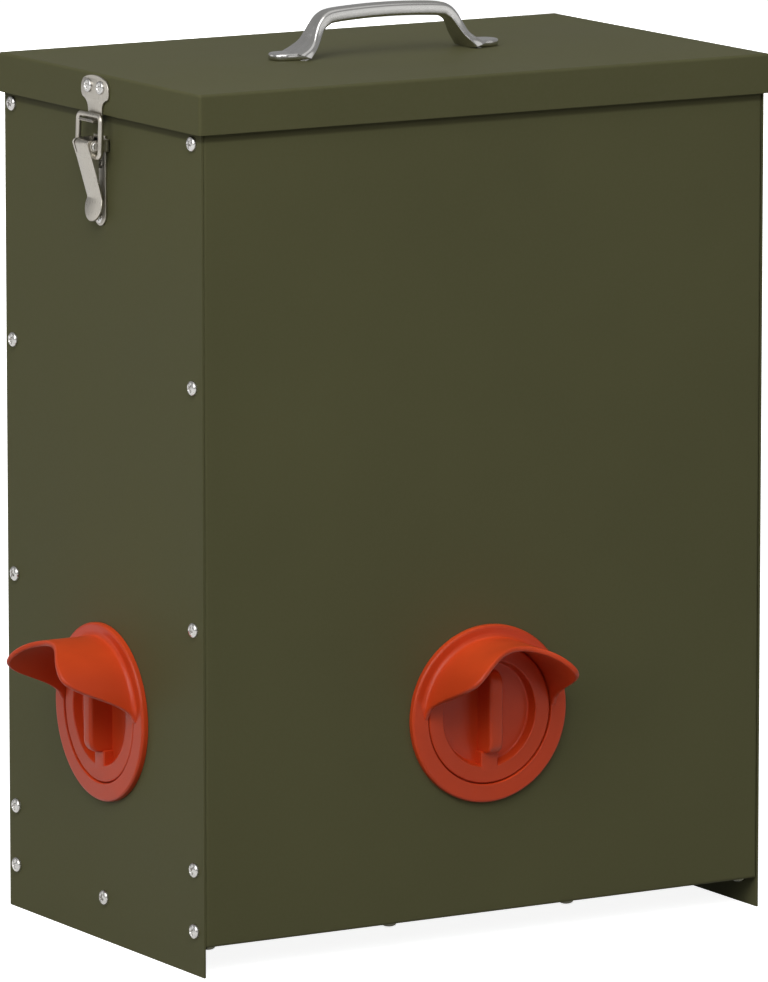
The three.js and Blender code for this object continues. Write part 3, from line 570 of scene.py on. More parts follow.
def zinc_screw():
    """Bright plated screw steel with a fine uneven plating, darker low down under the base as painted shade.
    """
    material, tree, shader, coords = new_material("zinc_screw")
    grain = place_group(tree, GRAIN, coords, ZINC_GRAIN)
    tone = mix_colour(tree, between(tree, grain["Broad"], 0, 1), ZINC_DARK, ZINC_LIGHT)
    # Painted shade: darker low down under the base
    under = place_group(tree, RAMP, coords, {"From": UNDER_BASE_HEIGHT, "To": UNDER_BASE_HEIGHT - UNDER_BASE_FADE})
    shade_painted_low = mix_colour(tree, under["Mask"], tone, ZINC_PAINTED_SHADE)
    roughness = between(tree, grain["Fine"], *ZINC_ROUGHNESS)
    dress(tree, shader, shade_painted_low, roughness, grain["Fine"], ZINC_BUMPS, METAL)
    return material


MATERIALS = {
    make.__name__: make() for make in (olive_paint, red_plastic, latch_steel, cast_handle, zinc_screw)
}

# Materials of the CAD nodes

slot_of_node = {row["node"]: row["material_slot"] for row in frame["record"]["subparts"]}
for node_name, node_object in frame["nodes"].items():
    node_object.data.materials.clear()
    node_object.data.materials.append(MATERIALS[slot_of_node[node_name]])

# Mesh tools. A skin is a pair: vertices, and faces as lists of vertex numbers.

CREASE_ANGLE = math.radians(32)


def skin(rings, ends=("flat", "flat"), looped=False):
    """A skin over closed rings of points, (rings, points, 3). Each end is closed flat or, where a point is
    given in place of the word, drawn to that pole. A looped skin runs round to its first ring."""
    rings = np.asarray(rings, dtype=float)
    count, around = rings.shape[:2]
    index = np.arange(count * around).reshape(count, around)
    rows = np.vstack([index, index[:1]]) if looped else index
    here, there = rows[:-1], rows[1:]
    quads = np.stack([here, np.roll(here, -1, 1), np.roll(there, -1, 1), there], axis=-1)
    faces = quads.reshape(-1, 4).tolist()
    vertices = rings.reshape(-1, 3)
    if looped:
        return vertices, faces
    for ring, end in ((index[0], ends[0]), (index[-1][::-1], ends[1])):
        if isinstance(end, str):
            faces.append(ring[::-1].tolist())
        else:
            poles = np.full(around, len(vertices))
            vertices = np.vstack([vertices, end])
            faces += np.stack([poles, np.roll(ring, -1), ring], axis=-1).tolist()
    return vertices, faces


def rounded(corners, steps=6, support=0.25):
    """Points along an outline of (x, y, radius) corners. A corner with a radius becomes an arc with one more
    point a little before and after it, which keeps the shading of the flats beside it even."""
    corners = np.array(corners, dtype=float)
    parts = []
    for i, (x, y, radius) in enumerate(corners):
        point = np.array([x, y])
        if radius == 0:
            parts.append(point[None])
            continue
        before = corners[i - 1, :2] - point
        after = corners[(i + 1) % len(corners), :2] - point
        before /= np.linalg.norm(before)
        after /= np.linalg.norm(after)
        half = math.acos(before @ after) / 2
        setback = radius / math.tan(half)
        inwards = (before + after) / np.linalg.norm(before + after)
        centre = point + inwards * radius / math.sin(half)
        first = point + before * setback - centre
        last = point + after * setback - centre
        turn = math.pi - 2 * half
        share = np.linspace(0, 1, steps + 1)[:, None]
        arc = (np.sin((1 - share) * turn) * first + np.sin(share * turn) * last) / math.sin(turn)
        rows = [centre + arc]
        if support:
            rows = [(centre + first + before * support)[None], *rows, (centre + last + after * support)[None]]
        parts.append(np.vstack(rows))
    return np.vstack(parts)


def circle_points(centre, radius, start, stop, steps):
    """Points on an arc from one angle to another, in degrees."""
    angle = np.radians(np.linspace(start, stop, steps + 1))
    return np.stack([centre[0] + radius * np.cos(angle), centre[1] + radius * np.sin(angle)], axis=1)


def curve_points(start, pull, stop, steps):
    """Points on a curve that leaves start towards pull and reaches stop from it."""
    share = np.linspace(0, 1, steps + 1)[:, None]
    return (1 - share) ** 2 * start + 2 * share * (1 - share) * pull + share**2 * stop


def evenly(points, step):
    """The same line with points at even steps along its length."""
    lengths = np.append(0, np.cumsum(np.linalg.norm(np.diff(points, axis=0), axis=1)))
    places = np.linspace(0, lengths[-1], int(lengths[-1] / step) + 1)
    return np.stack([np.interp(places, lengths, column) for column in points.T], axis=1)


def turned(profile, sides, looped=False):
    """A skin turned from a profile of (radius, out) about an axis that points outwards."""
    radius, out = np.transpose(profile)
    angle = 2 * np.pi * np.arange(sides) / sides
    level = np.repeat(out[:, None], sides, axis=1)
    rings = np.stack([np.outer(radius, np.sin(angle)), level, np.outer(radius, np.cos(angle))], axis=-1)
    if looped:
        return skin(rings, looped=True)
    return skin(rings[1:-1], (rings[0, 0], rings[-1, 0]))


def unit(vectors):
    """The same directions, each with a length of one."""
    return vectors / np.linalg.norm(vectors, axis=-1, keepdims=True)


def edge_rings(edge, steps, support):
    """Rings along the quarter circle of a rounded edge: how far each draws in from the side, and how far it
    lies from the face. The first is drawn in by support times the edge, to keep the face's shading even."""
    turn = np.linspace(0, np.pi / 2, steps)
    return np.append(support * edge, edge * (1 - np.sin(turn))), np.append(0, edge * (1 - np.cos(turn)))


def slab(outline, thickness, edge):
    """A plate over an outline of (u, v) points, which runs anticlockwise. Its rim is rounded at both faces by
    rings that draw in along a quarter circle. Vertices are (u, v, level)."""
    along = unit(unit(outline - np.roll(outline, 1, 0)) + unit(np.roll(outline, -1, 0) - outline))
    inwards = np.stack([-along[:, 1], along[:, 0]], axis=1)
    draw, level = edge_rings(edge, steps=4, support=1.6)
    draw = np.append(draw, draw[::-1])
    level = np.append(level, thickness - level[::-1])
    rings = outline[None] + inwards[None] * draw[:, None, None]
    levels = np.broadcast_to(level[:, None, None], rings.shape[:2] + (1,))
    return skin(np.concatenate([rings, levels], axis=-1))


def strip(path, half_widths, thickness, edge):
    """A bent sheet: a rectangle with rounded edges, carried along a path of (out, z) points and as wide there
    as half_widths says, but never narrower than its edges allow. Vertices are (x, out, z)."""
    heading = unit(np.gradient(path, axis=0))
    normal = np.stack([heading[:, 1], -heading[:, 0]], axis=1)
    quarter = np.radians(np.linspace(0, 90, 4))
    angle = np.concatenate([quarter + turn * np.pi / 2 for turn in range(4)])
    side = np.repeat([1, -1, -1, 1], 4)
    face = np.repeat([1, 1, -1, -1], 4)
    width = np.maximum(half_widths, 1.2 * edge)[:, None]
    across = side * (width - edge) + edge * np.cos(angle)
    level = face * (thickness / 2 - edge) + edge * np.sin(angle)
    places = path[:, None] + normal[:, None] * level[None, :, None]
    return skin(np.concatenate([across[..., None], places], axis=-1))


def wire(path, radius):
    """A round wire along a flat path of (x, y) points. Vertices are (x, y, level)."""
    heading = unit(np.gradient(path, axis=0))
    aside = np.stack([-heading[:, 1], heading[:, 0]], axis=1)
    angle = 2 * np.pi * np.arange(WIRE_SIDES) / WIRE_SIDES
    flat = path[:, None] + aside[:, None] * (radius * np.cos(angle))[None, :, None]
    level = np.broadcast_to((radius * np.sin(angle))[None, :, None], flat.shape[:2] + (1,))
    return skin(np.concatenate([flat, level], axis=-1))


def moved(piece, x=0, out=0, z=0):
    """The same skin in another place of its wall's frame."""
    vertices, faces = piece
    return vertices + (x, out, z), faces


def reordered(piece, order):
    """The same skin with its coordinates in another order, such as (u, v, level) to (u, level, v)."""
    vertices, faces = piece
    return vertices[:, order], faces


def on_wall(side, pieces, height=0):
    """Skins from a wall's frame in millimetres, brought to their place in metres."""
    angle, distance = WALLS[side]
    cosine, sine = math.cos(angle), math.sin(angle)
    placed = []
    for vertices, faces in pieces:
        across, away = vertices[:, 0], vertices[:, 1] + distance
        x = across * cosine + away * sine
        y = across * sine - away * cosine
        placed.append((np.stack([x, y, vertices[:, 2] + height], axis=1) * MM, faces))
    return placed


def add_piece(name, pieces, slot_name, body, *nodes):
    """One object from closed skins in metres, each turned so that it encloses a positive volume. It rides a
    body and stands for the given CAD nodes."""
    whole = bmesh.new()
    for vertices, faces in pieces:
        patch = bpy.data.meshes.new("patch")
        patch.from_pydata(vertices.tolist(), [], faces)
        closed = bmesh.new()
        closed.from_mesh(patch)
        if closed.calc_volume(signed=True) < 0:
            bmesh.ops.reverse_faces(closed, faces=closed.faces)
        closed.to_mesh(patch)
        closed.free()
        whole.from_mesh(patch)
        bpy.data.meshes.remove(patch)
    mesh = bpy.data.meshes.new(name)
    whole.to_mesh(mesh)
    whole.free()
    mesh.polygons.foreach_set("use_smooth", np.ones(len(mesh.polygons), dtype=bool))
    mesh.set_sharp_from_angle(angle=CREASE_ANGLE)
    mesh.materials.append(MATERIALS[slot_name])
    piece = add_object(name, mesh)
    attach(piece, body)
    if nodes:
        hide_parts(*nodes)


# Feeding ports


def hood_reach(angle):
    """How far the hood's free edge stands out, by the angle from its top in degrees: a smooth rise from the
    top to a tip at each side, then a fall to the flange by a power of a cosine, steep halfway and flat at its
    foot. Over the last degrees it sinks a little into the flange."""
    away = np.abs(angle)
    rise = (1 - np.cos(np.pi * away / HOOD_TIP_ANGLE)) / 2
    near_top = HOOD_TOP_REACH + (HOOD_TIP_REACH - HOOD_TOP_REACH) * rise
    fall = np.clip((away - HOOD_TIP_ANGLE) / (90 - HOOD_TIP_ANGLE), 0, 1)
    left = np.clip(np.cos(np.pi / 2 * fall ** HOOD_FALL_POWERS[0]), 0, 1) ** HOOD_FALL_POWERS[1]
    fade = np.clip((away - 90 + HOOD_FADE) / HOOD_FADE, 0, 1)
    sunk = (HOOD_ROOT_REACH - FLANGE_THICKNESS + HOOD_SINK) * fade**2
    flank = HOOD_ROOT_REACH + (HOOD_TIP_REACH - HOOD_ROOT_REACH) * left - sunk
    return np.where(away <= HOOD_TIP_ANGLE, near_top, flank)


def hood_shell():
    """The rain hood: at each angle a wall with a round free edge, and outside a fillet down to the flange."""
    angle = np.linspace(-90, 90, HOOD_STEPS + 1)
    edge = (hood_reach(angle) - HOOD_WALL / 2)[:, None]
    foot = FLANGE_THICKNESS - HOOD_WALL / 2 - HOOD_FOOT_DEPTH
    fillet = np.clip(edge - FLANGE_THICKNESS - FILLET_SPARE, FILLET_LEAST, HOOD_FILLET)
    outer = BORE_RADIUS + HOOD_WALL
    cap = np.linspace(np.pi, 0, 11)[None]
    hollow = np.linspace(np.pi, 1.5 * np.pi, 8)[None]
    level = np.ones_like(edge)
    inside = BORE_RADIUS - HOOD_LAP
    radii = [
        inside * level,
        BORE_RADIUS + HOOD_WALL / 2 + (HOOD_WALL / 2) * np.cos(cap) * level,
        outer + fillet + fillet * np.cos(hollow),
        outer + fillet,
    ]
    outs = [
        foot * level,
        edge + (HOOD_WALL / 2) * np.sin(cap),
        FLANGE_THICKNESS + fillet + fillet * np.sin(hollow),
        foot * level,
    ]
    radius, out = np.hstack(radii), np.hstack(outs)
    turn = np.radians(angle)[:, None]
    return skin(np.stack([radius * np.sin(turn), out, radius * np.cos(turn)], axis=-1))


def port_body():
    """Flange, spigot and hood of one moulding."""
    inside = BORE_RADIUS - SPIGOT_STEP
    outside = inside + SPIGOT_WALL
    profile = rounded([
        (BORE_RADIUS, FLANGE_THICKNESS, FLANGE_BORE_ROUND),
        (FLANGE_RADIUS, FLANGE_THICKNESS, FLANGE_ROUND),
        (FLANGE_RADIUS, SEAT_GAP, FLANGE_BACK_ROUND),
        (outside, SEAT_GAP, 0),
        (outside, SPIGOT_END, 0),
        (inside, SPIGOT_END, 0),
        (inside, 0, 0),
        (BORE_RADIUS, 0, 0),
    ])
    return [turned(profile, PORT_SIDES, looped=True), hood_shell()]


def soft_bar(low, high, foot, top, width, end_round, edge):
    """An upright bar on the plug: its side view has two rounded corners, and rings that draw in along a
    quarter circle round it towards both of its sides."""
    draw, level = edge_rings(edge, steps=7, support=1.3)
    reach = width / 2 - level
    rings = []
    for x, inset in [*zip(-reach, draw), *zip(reach[::-1], draw[::-1])]:
        near, far, face, bend = low + inset, high - inset, top - inset, end_round - inset
        outline = rounded([(near, foot, 0), (near, face, bend), (far, face, bend), (far, foot, 0)], steps=12)
        rings.append(np.stack([np.full(len(outline), x), outline[:, 1], outline[:, 0]], axis=1))
    return skin(rings)


def port_plug():
    """The plug: a turned cup with an upright grip bar in its recess, and a bridge from the bar to the rim."""
    skirt = BORE_RADIUS - SPIGOT_STEP - PLUG_SKIRT_GAP
    floor_back = RECESS_FLOOR - PLUG_FLOOR
    profile = rounded([
        (0, floor_back, 0),
        (skirt - PLUG_SKIRT_WALL, floor_back, 0),
        (skirt - PLUG_SKIRT_WALL, PLUG_SKIRT_END, 0),
        (skirt, PLUG_SKIRT_END, PLUG_SKIRT_ROUND),
        (skirt, PLUG_SEAT, 0),
        (PLUG_RADIUS, PLUG_SEAT, 0),
        (PLUG_RADIUS, PLUG_RIM, PLUG_RIM_ROUNDS[0]),
        (RECESS_RADIUS, PLUG_RIM, PLUG_RIM_ROUNDS[1]),
        (RECESS_RADIUS - RECESS_DRAFT, RECESS_FLOOR, RECESS_ROUND),
        (0, RECESS_FLOOR, 0),
    ])
    foot = RECESS_FLOOR - PLUG_FLOOR / 2
    grip = soft_bar(-GRIP_LOW_REACH, GRIP_TOP_REACH, foot, GRIP_OUT, GRIP_WIDTH, GRIP_ROUND, GRIP_EDGE)
    high, top = BRIDGE_LAP - GRIP_LOW_REACH, PLUG_RIM + BRIDGE_STAND
    bridge = soft_bar(-BRIDGE_END, high, foot, top, BRIDGE_WIDTH, BRIDGE_ROUND, BRIDGE_EDGE)
    return [turned(profile, PLUG_SIDES), grip, bridge]


for side in WALLS:
    for part, skins, body in (("hood", port_body(), "casing"), ("plug", port_plug(), f"{side}_plug")):
        node = f"{side}_port_{part}"
        add_piece(f"{node}_shell", on_wall(side, skins, PORT_HEIGHT), "red_plastic", body, node)

# Screws and rivets


def pan_head(radius, height, shank_end, degrees):
    """A pan head with a cross recess: the height falls towards the rim by a power curve, and drops inside two
    arms whose depth shrinks outwards. The cross is turned by some degrees."""
    share, turn = HEAD_RINGS, math.radians(degrees)
    angle = 2 * np.pi * np.arange(HEAD_SIDES) / HEAD_SIDES
    flat = np.stack([np.outer(share, np.sin(angle)), np.outer(share, np.cos(angle))], axis=-1) * radius
    dome = height * (HEAD_RIM + (1 - HEAD_RIM) * np.sqrt(1 - share**HEAD_POWER))
    first = flat[..., 0] * math.cos(turn) + flat[..., 1] * math.sin(turn)
    second = flat[..., 1] * math.cos(turn) - flat[..., 0] * math.sin(turn)
    half_arm, arm_reach, soft = CROSS_HALF_WIDTH * radius, CROSS_REACH * radius, CROSS_SOFTNESS * radius
    recess = np.zeros_like(first)
    for along, across in ((first, second), (second, first)):
        inside = np.clip((half_arm - np.abs(across)) / soft + 0.5, 0, 1)
        inside *= np.clip((arm_reach - np.abs(along)) / (2 * soft) + 0.5, 0, 1)
        recess = np.maximum(recess, inside)
    depth = CROSS_DEPTH * height * (1 - CROSS_TAPER * share[:, None])
    out = dome[:, None] - recess * depth
    head = np.stack([flat[..., 0], out, flat[..., 1]], axis=-1)
    circle = np.stack([np.sin(angle), np.zeros_like(angle), np.cos(angle)], axis=-1)
    rings = ((SCREW_SHANK, shank_end), (SCREW_SHANK, SEAT_GAP), (radius, SEAT_GAP))
    below = [circle * size + (0, level, 0) for size, level in rings]
    centre = (0, height * (1 - CROSS_DEPTH), 0)
    return skin([*below, *head], ((0, shank_end, 0), centre))


def add_screws():
    """Each screw node's box gives its place. Its head faces away from its wall, or down under the base."""
    names = [name for name in frame["nodes"] if "screw" in name]
    for number, name in enumerate(names):
        low, high = size_of(name)
        middle = (low + high) / 2
        in_base = "base_screw" in name
        length = (high - low)[2 if in_base else 0]
        head = pan_head(SCREW_RADIUS, SCREW_HEIGHT, SCREW_HEIGHT - length, SCREW_TURN * number)
        if in_base:
            vertices, faces = head
            place = (middle[0], middle[1], low[2] + SCREW_HEIGHT)
            pieces = [((vertices[:, (0, 2, 1)] * (1, 1, -1) + place) * MM, faces)]
        else:
            side = name.split("_")[0]
            x = middle[1] if side == "right" else -middle[1]
            pieces = on_wall(side, [moved(head, x=x)], middle[2])
        add_piece(f"{name}_head", pieces, "zinc_screw", "casing", name)


add_screws()

# Toggle latches


def lever_skins():
    """The lever: a folded plate with a round tab at its end and a small roll at its top, and two ears that
    carry the pin and the pivot. Beside the ears the plate is narrower, as the fold's relief cuts leave it."""
    top = PIN_HEIGHT + LEVER_EAR_RADIUS
    roll = top - LEVER_ROLL_DROP
    kink = PIN_HEIGHT - LEVER_KINK_DROP
    low = PIN_HEIGHT - LEVER_TAB_DROP
    bent = rounded(
        [
            (LEVER_PLATE_OUT - LEVER_ROLL_REACH, roll, 0),
            (LEVER_PLATE_OUT, roll, LEVER_ROLL_BEND),
            (LEVER_KINK_OUT, kink, LEVER_KINK_BEND),
            (LEVER_TAB_OUT, low, 0),
        ],
        support=0,
    )
    path = evenly(bent, LEVER_PATH_STEP)
    tab = LEVER_TAB_WIDTH / 2
    middle = low + tab
    half = LEVER_WIDTH / 2
    relief = PIN_HEIGHT - LEVER_RELIEF_DROP
    narrow = half - LEVER_RELIEF
    heights = [middle, kink, relief, relief + LEVER_RELIEF_STEP, roll - LEVER_ROLL_TAPER, roll]
    widths = [tab, LEVER_KINK_WIDTH / 2, half, narrow, narrow, narrow - LEVER_ROLL_TAPER]
    straight = np.interp(path[:, 1], heights, widths)
    end = np.sqrt(np.maximum(tab**2 - (path[:, 1] - middle) ** 2, 0))
    plate = strip(path, np.where(path[:, 1] < middle, end, straight), LATCH_SHEET, STRIP_EDGE)
    ear_low = PIN_HEIGHT - LEVER_EAR_DROP
    along = (top - ear_low) / (top - kink)
    corner = (LEVER_PLATE_OUT + LATCH_SHEET / 2 - LEVER_EAR_CORNER, top - LEVER_EAR_CORNER)
    outline = np.vstack([
        circle_points((PIN_OUT, PIN_HEIGHT), LEVER_EAR_RADIUS, 90, 180, 10),
        circle_points((PIVOT_OUT, PIVOT_HEIGHT), LEVER_EAR_RADIUS, 180, 240, 8),
        [(LEVER_PLATE_OUT + (LEVER_KINK_OUT - LEVER_PLATE_OUT) * along, ear_low)],
        circle_points(corner, LEVER_EAR_CORNER, 0, 90, 8),
    ])
    ear = reordered(slab(outline, LATCH_SHEET, PLATE_EDGE), (2, 0, 1))
    return [plate, moved(ear, x=half - LATCH_SHEET), moved(ear, x=-half)]


def base_skins():
    """The base: a strap with a round lower end, a cross piece and two ears for the pin."""
    low = PIN_HEIGHT - BASE_DROP
    half = BASE_WIDTH / 2
    top = PIN_HEIGHT + BASE_RISE
    strap = np.vstack([circle_points((0, low + half), half, 180, 360, 24), [(half, top), (-half, top)]])
    inside = LEVER_WIDTH / 2 + BASE_EAR_GAP
    outside = inside + LATCH_SHEET
    ear_low, ear_top = PIN_HEIGHT - BASE_EAR_RADIUS, PIN_HEIGHT + BASE_EAR_RADIUS
    cross = np.array([(-outside, ear_low), (outside, ear_low), (outside, ear_top), (-outside, ear_top)])
    ear = np.vstack([
        [(SEAT_GAP, ear_top), (SEAT_GAP, ear_low)],
        circle_points((PIN_OUT, PIN_HEIGHT), BASE_EAR_RADIUS, -90, 90, 20),
    ])
    flat = [reordered(slab(outline, LATCH_SHEET, PLATE_EDGE), (0, 2, 1)) for outline in (strap, cross)]
    lug = reordered(slab(ear, LATCH_SHEET, PLATE_EDGE), (2, 0, 1))
    return [*(moved(piece, out=SEAT_GAP) for piece in flat), moved(lug, x=inside), moved(lug, x=-outside)]


def pin_skins():
    """The hinge pin, with a low domed head at both ends."""
    end = LEVER_WIDTH / 2 + BASE_EAR_GAP + LATCH_SHEET + PIN_HEAD_GAP
    face = end + PIN_HEAD_HEIGHT
    profile = rounded([
        (0, -face, 0),
        (PIN_HEAD_RADIUS, -face, PIN_HEAD_ROUND),
        (PIN_HEAD_RADIUS, -end, 0),
        (PIN_RADIUS, -end, 0),
        (PIN_RADIUS, end, 0),
        (PIN_HEAD_RADIUS, end, 0),
        (PIN_HEAD_RADIUS, face, PIN_HEAD_ROUND),
        (0, face, 0),
    ], support=0)
    pin = reordered(turned(profile, PIN_SIDES), (1, 0, 2))
    return [moved(pin, out=PIN_OUT, z=PIN_HEIGHT)]


def loop_skins():
    """The wire loop, in a plane that leans from the pivot to the bar."""
    leg = LOOP_WIDTH / 2 - WIRE_RADIUS
    end = LEVER_WIDTH / 2 - LATCH_SHEET - WIRE_END_INSET
    lean = np.array([BAR_OUT - PIVOT_OUT, BAR_HEIGHT - PIVOT_HEIGHT])
    length = np.linalg.norm(lean)
    up = lean / length
    corners = [(end, 0, 0), (leg, 0, WIRE_CORNER), (leg, length, WIRE_CORNER), (-leg, length, WIRE_CORNER)]
    corners += [(-leg, 0, WIRE_CORNER), (-end, 0, 0)]
    path = evenly(rounded(corners, steps=10, support=0), WIRE_PATH_STEP)
    vertices, faces = wire(path, WIRE_RADIUS)
    out = PIVOT_OUT + vertices[:, 1] * up[0] + vertices[:, 2] * up[1]
    z = PIVOT_HEIGHT + vertices[:, 1] * up[1] - vertices[:, 2] * up[0]
    return [(np.stack([vertices[:, 0], out, z], axis=1), faces)]


def keeper_skins():
    """The keeper: a head of two lobes, a neck and a foot that curls out under the loop's bar. Half its width
    at each height comes from the lobes' arcs and the curves of crown and neck."""
    lobe = KEEPER_HEAD_HEIGHT / 2
    lobe_x = KEEPER_HEAD_WIDTH / 2 - lobe
    lobe_z = KEEPER_TOP - KEEPER_LOBE_DROP
    arc = circle_points((lobe_x, lobe_z), lobe, *KEEPER_LOBE_ARC, 24)
    pull = np.array([0, KEEPER_TOP + KEEPER_CROWN])
    crown = curve_points(arc[0] * (-1, 1), pull, arc[0], KEEPER_CROWN_STEPS)
    crown = crown[KEEPER_CROWN_STEPS // 2 : -1]
    neck = np.array([KEEPER_NECK_WIDTH / 2, KEEPER_TOP - KEEPER_HEAD_HEIGHT - KEEPER_TAPER])
    taper = curve_points(arc[-1], neck + (0, KEEPER_TAPER), neck, 12)[1:]
    outline = np.vstack([crown, arc, taper])[::-1]
    bent = rounded(
        [
            (KEEPER_OUT, crown[0, 1], 0),
            (KEEPER_OUT, KEEPER_LIP, KEEPER_BENDS[0]),
            (KEEPER_REACH - KEEPER_CURL, KEEPER_LIP, KEEPER_BENDS[1]),
            (KEEPER_REACH, KEEPER_LIP + KEEPER_CURL, 0),
        ],
        support=0,
    )
    path = evenly(bent, KEEPER_PATH_STEP)
    half = np.interp(path[:, 1], outline[:, 1], outline[:, 0])
    return [strip(path, half, LATCH_SHEET, STRIP_EDGE)]


def add_latch(side):
    """The five pieces of one wall's latch, and the rivets of its base and keeper."""
    rivet, low_rivet = (
        pan_head(RIVET_RADIUS - less, RIVET_HEIGHT - less, RIVET_SHANK_END, RIVET_TURN)
        for less in (0, BASE_RIVET_LESS)
    )
    face = SEAT_GAP + LATCH_SHEET
    base_rivets = [moved(low_rivet, out=face, z=PIN_HEIGHT - drop) for drop in BASE_RIVET_DROPS]
    keeper_rivets = [
        moved(rivet, x=x, out=KEEPER_OUT + LATCH_SHEET / 2, z=KEEPER_TOP - KEEPER_RIVET_DROP)
        for x in (-KEEPER_RIVET_PITCH / 2, KEEPER_RIVET_PITCH / 2)
    ]
    for name, skins, slot_name, body, *nodes in (
        ("base_plate", base_skins(), "latch_steel", "casing", "base"),
        ("base_rivets", base_rivets, "zinc_screw", "casing"),
        ("pin_rod", pin_skins(), "zinc_screw", "casing", "pin"),
        ("lever_plate", lever_skins(), "latch_steel", f"{side}_lever", "lever"),
        ("loop_wire", loop_skins(), "latch_steel", f"{side}_loop", "loop"),
        ("keeper_plate", keeper_skins(), "latch_steel", "lid", "keeper"),
        ("keeper_rivets", keeper_rivets, "zinc_screw", "lid"),
    ):
        stood_for = [f"{side}_latch_{node}" for node in nodes]
        add_piece(f"{side}_latch_{name}", on_wall(side, skins), slot_name, body, *stood_for)


for side in ("left", "right"):
    add_latch(side)

# Lid and handle


def lid_skins():
    """The lid's tray: rectangles with rounded corners, one over the other along the sheet's section."""
    section = rounded([
        (LID_FLAT_INSET, LID_TOP - SHEET, 0),
        (SHEET, LID_TOP - SHEET, LID_BEND - SHEET),
        (SHEET, LID_SKIRT_END, LID_EDGE),
        (0, LID_SKIRT_END, LID_EDGE),
        (0, LID_TOP, LID_BEND),
        (LID_FLAT_INSET, LID_TOP, 0),
    ])
    rings = []
    for inset, z in section:
        x, y = LID_HALF_WIDTH - inset, LID_HALF_DEPTH - inset
        corner = max(LID_CORNER - inset, LEAST_CORNER)
        outline = rounded([(x, y, corner), (-x, y, corner), (-x, -y, corner), (x, -y, corner)])
        rings.append(np.column_stack([outline, np.full(len(outline), z)]))
    return skin(rings)


def smooth_rows(rows, steps):
    """Rows between the given rows, on a cubic curve through each four neighbours."""
    padded = np.vstack([2 * rows[0] - rows[1], rows, 2 * rows[-1] - rows[-2]])
    share = np.linspace(0, 1, steps, endpoint=False)[:, None, None]
    a, b, c, d = padded[:-3], padded[1:-2], padded[2:-1], padded[3:]
    curve = 2 * b + (c - a) * share + (2 * a - 5 * b + 4 * c - d) * share**2
    curve = (curve + (3 * b - a - 3 * c + d) * share**3) / 2
    return np.vstack([curve.transpose(1, 0, 2).reshape(-1, rows.shape[1]), rows[-1:]])


def handle_skins():
    """The cast bow, a skin between an outer and an inner rail, and its two pads. Its sections are rectangles
    with soft outer and crisper inner edges: powers of sine and cosine, lower where the edge is crisper."""
    bar = [
        (x, HANDLE_RISE - droop, x, HANDLE_RISE - droop - BAR_THICKNESS, BAR_WIDTH)
        for x, droop in ((0, 0), (BAR_SHOULDER / 2, BAR_DROOP / 4), (BAR_SHOULDER, BAR_DROOP))
    ]
    leg = [
        (
            PAD_INNER + PAD_LENGTH * outer_out,
            HANDLE_RISE * outer_up,
            PAD_INNER + PAD_LENGTH * inner_out,
            HANDLE_RISE * inner_up,
            PAD_WIDTH * width,
        )
        for outer_out, outer_up, inner_out, inner_up, width in LEG_SHARES
    ]
    half = np.array(bar + leg)
    rows = smooth_rows(np.vstack([(half * (-1, 1, -1, 1, 1))[:0:-1], half]), HANDLE_STEPS)
    outer, inner, width = rows[:, 0:2], rows[:, 2:4], rows[:, 4]
    angle = 2 * np.pi * np.arange(HANDLE_SIDES) / HANDLE_SIDES
    share = np.where(np.cos(angle) > 0, BAR_OUTER_SHARE, BAR_INNER_SHARE)
    up = np.sign(np.cos(angle)) * np.abs(np.cos(angle)) ** share
    aside = np.sign(np.sin(angle)) * np.abs(np.sin(angle)) ** share
    middle, spoke = (outer + inner) / 2, (outer - inner) / 2
    places = middle[:, None] + spoke[:, None] * up[None, :, None]
    across = np.outer(width / 2, aside)
    floor = LID_TOP + SEAT_GAP
    level = np.maximum(places[..., 1], HANDLE_FOOT) + floor
    bow = skin(np.stack([places[..., 0], across, level], axis=-1))
    tip = HANDLE_END - PAD_TIP_RADIUS
    pull = np.array([PAD_INNER + (tip - PAD_INNER) * PAD_FLARE_SHARE, -PAD_TIP_RADIUS])
    corner = np.array([PAD_INNER, -PAD_WIDTH / 2])
    flank = curve_points(corner, pull, np.array([tip, -PAD_TIP_RADIUS]), 14)[3:]
    middle = circle_points((tip, 0), PAD_TIP_RADIUS, -90, 90, 24)[1:-1]
    outline = rounded(
        [
            (*corner, PAD_CORNER),
            *((x, y, 0) for x, y in [*flank, *middle, *(flank[::-1] * (1, -1))]),
            (PAD_INNER, PAD_WIDTH / 2, PAD_CORNER),
        ],
        support=0,
    )
    pad, faces = slab(outline, PAD_THICKNESS, PAD_EDGE)
    pad = pad + (0, 0, floor)
    return [bow, (pad, faces), (pad * (-1, 1, 1), faces)]


def in_metres(pieces):
    """Skins from the model's frame in millimetres, brought to metres."""
    return [(vertices * MM, faces) for vertices, faces in pieces]


add_piece("lid_tray", in_metres([lid_skins()]), "olive_paint", "lid", "lid")
add_piece("lid_handle_casting", in_metres(handle_skins()), "cast_handle", "lid", "lid_handle")

# Stage: floor, surroundings and lamps. Places and sizes are in metres and powers in watts.

WHITE = (1, 1, 1, 1)
FLOOR_HALF = 14
FLOOR_ROUGHNESS = 0.9
FLOOR_TONE = (0.9, 0.9, 0.9)
FLOOR_TONE_BOUNCED = (0.2, 0.2, 0.2)
FLOOR_GLOW = 0.9
FLOOR_GLOW_MIRRORED = 0.35
DOME_LIGHT = (0.02, 0.2)
DOME_MIRRORED = (0.3, 0.36)
BACKDROP_STRENGTH = 1
LAMP_AIM = (0, 0, 0.22)


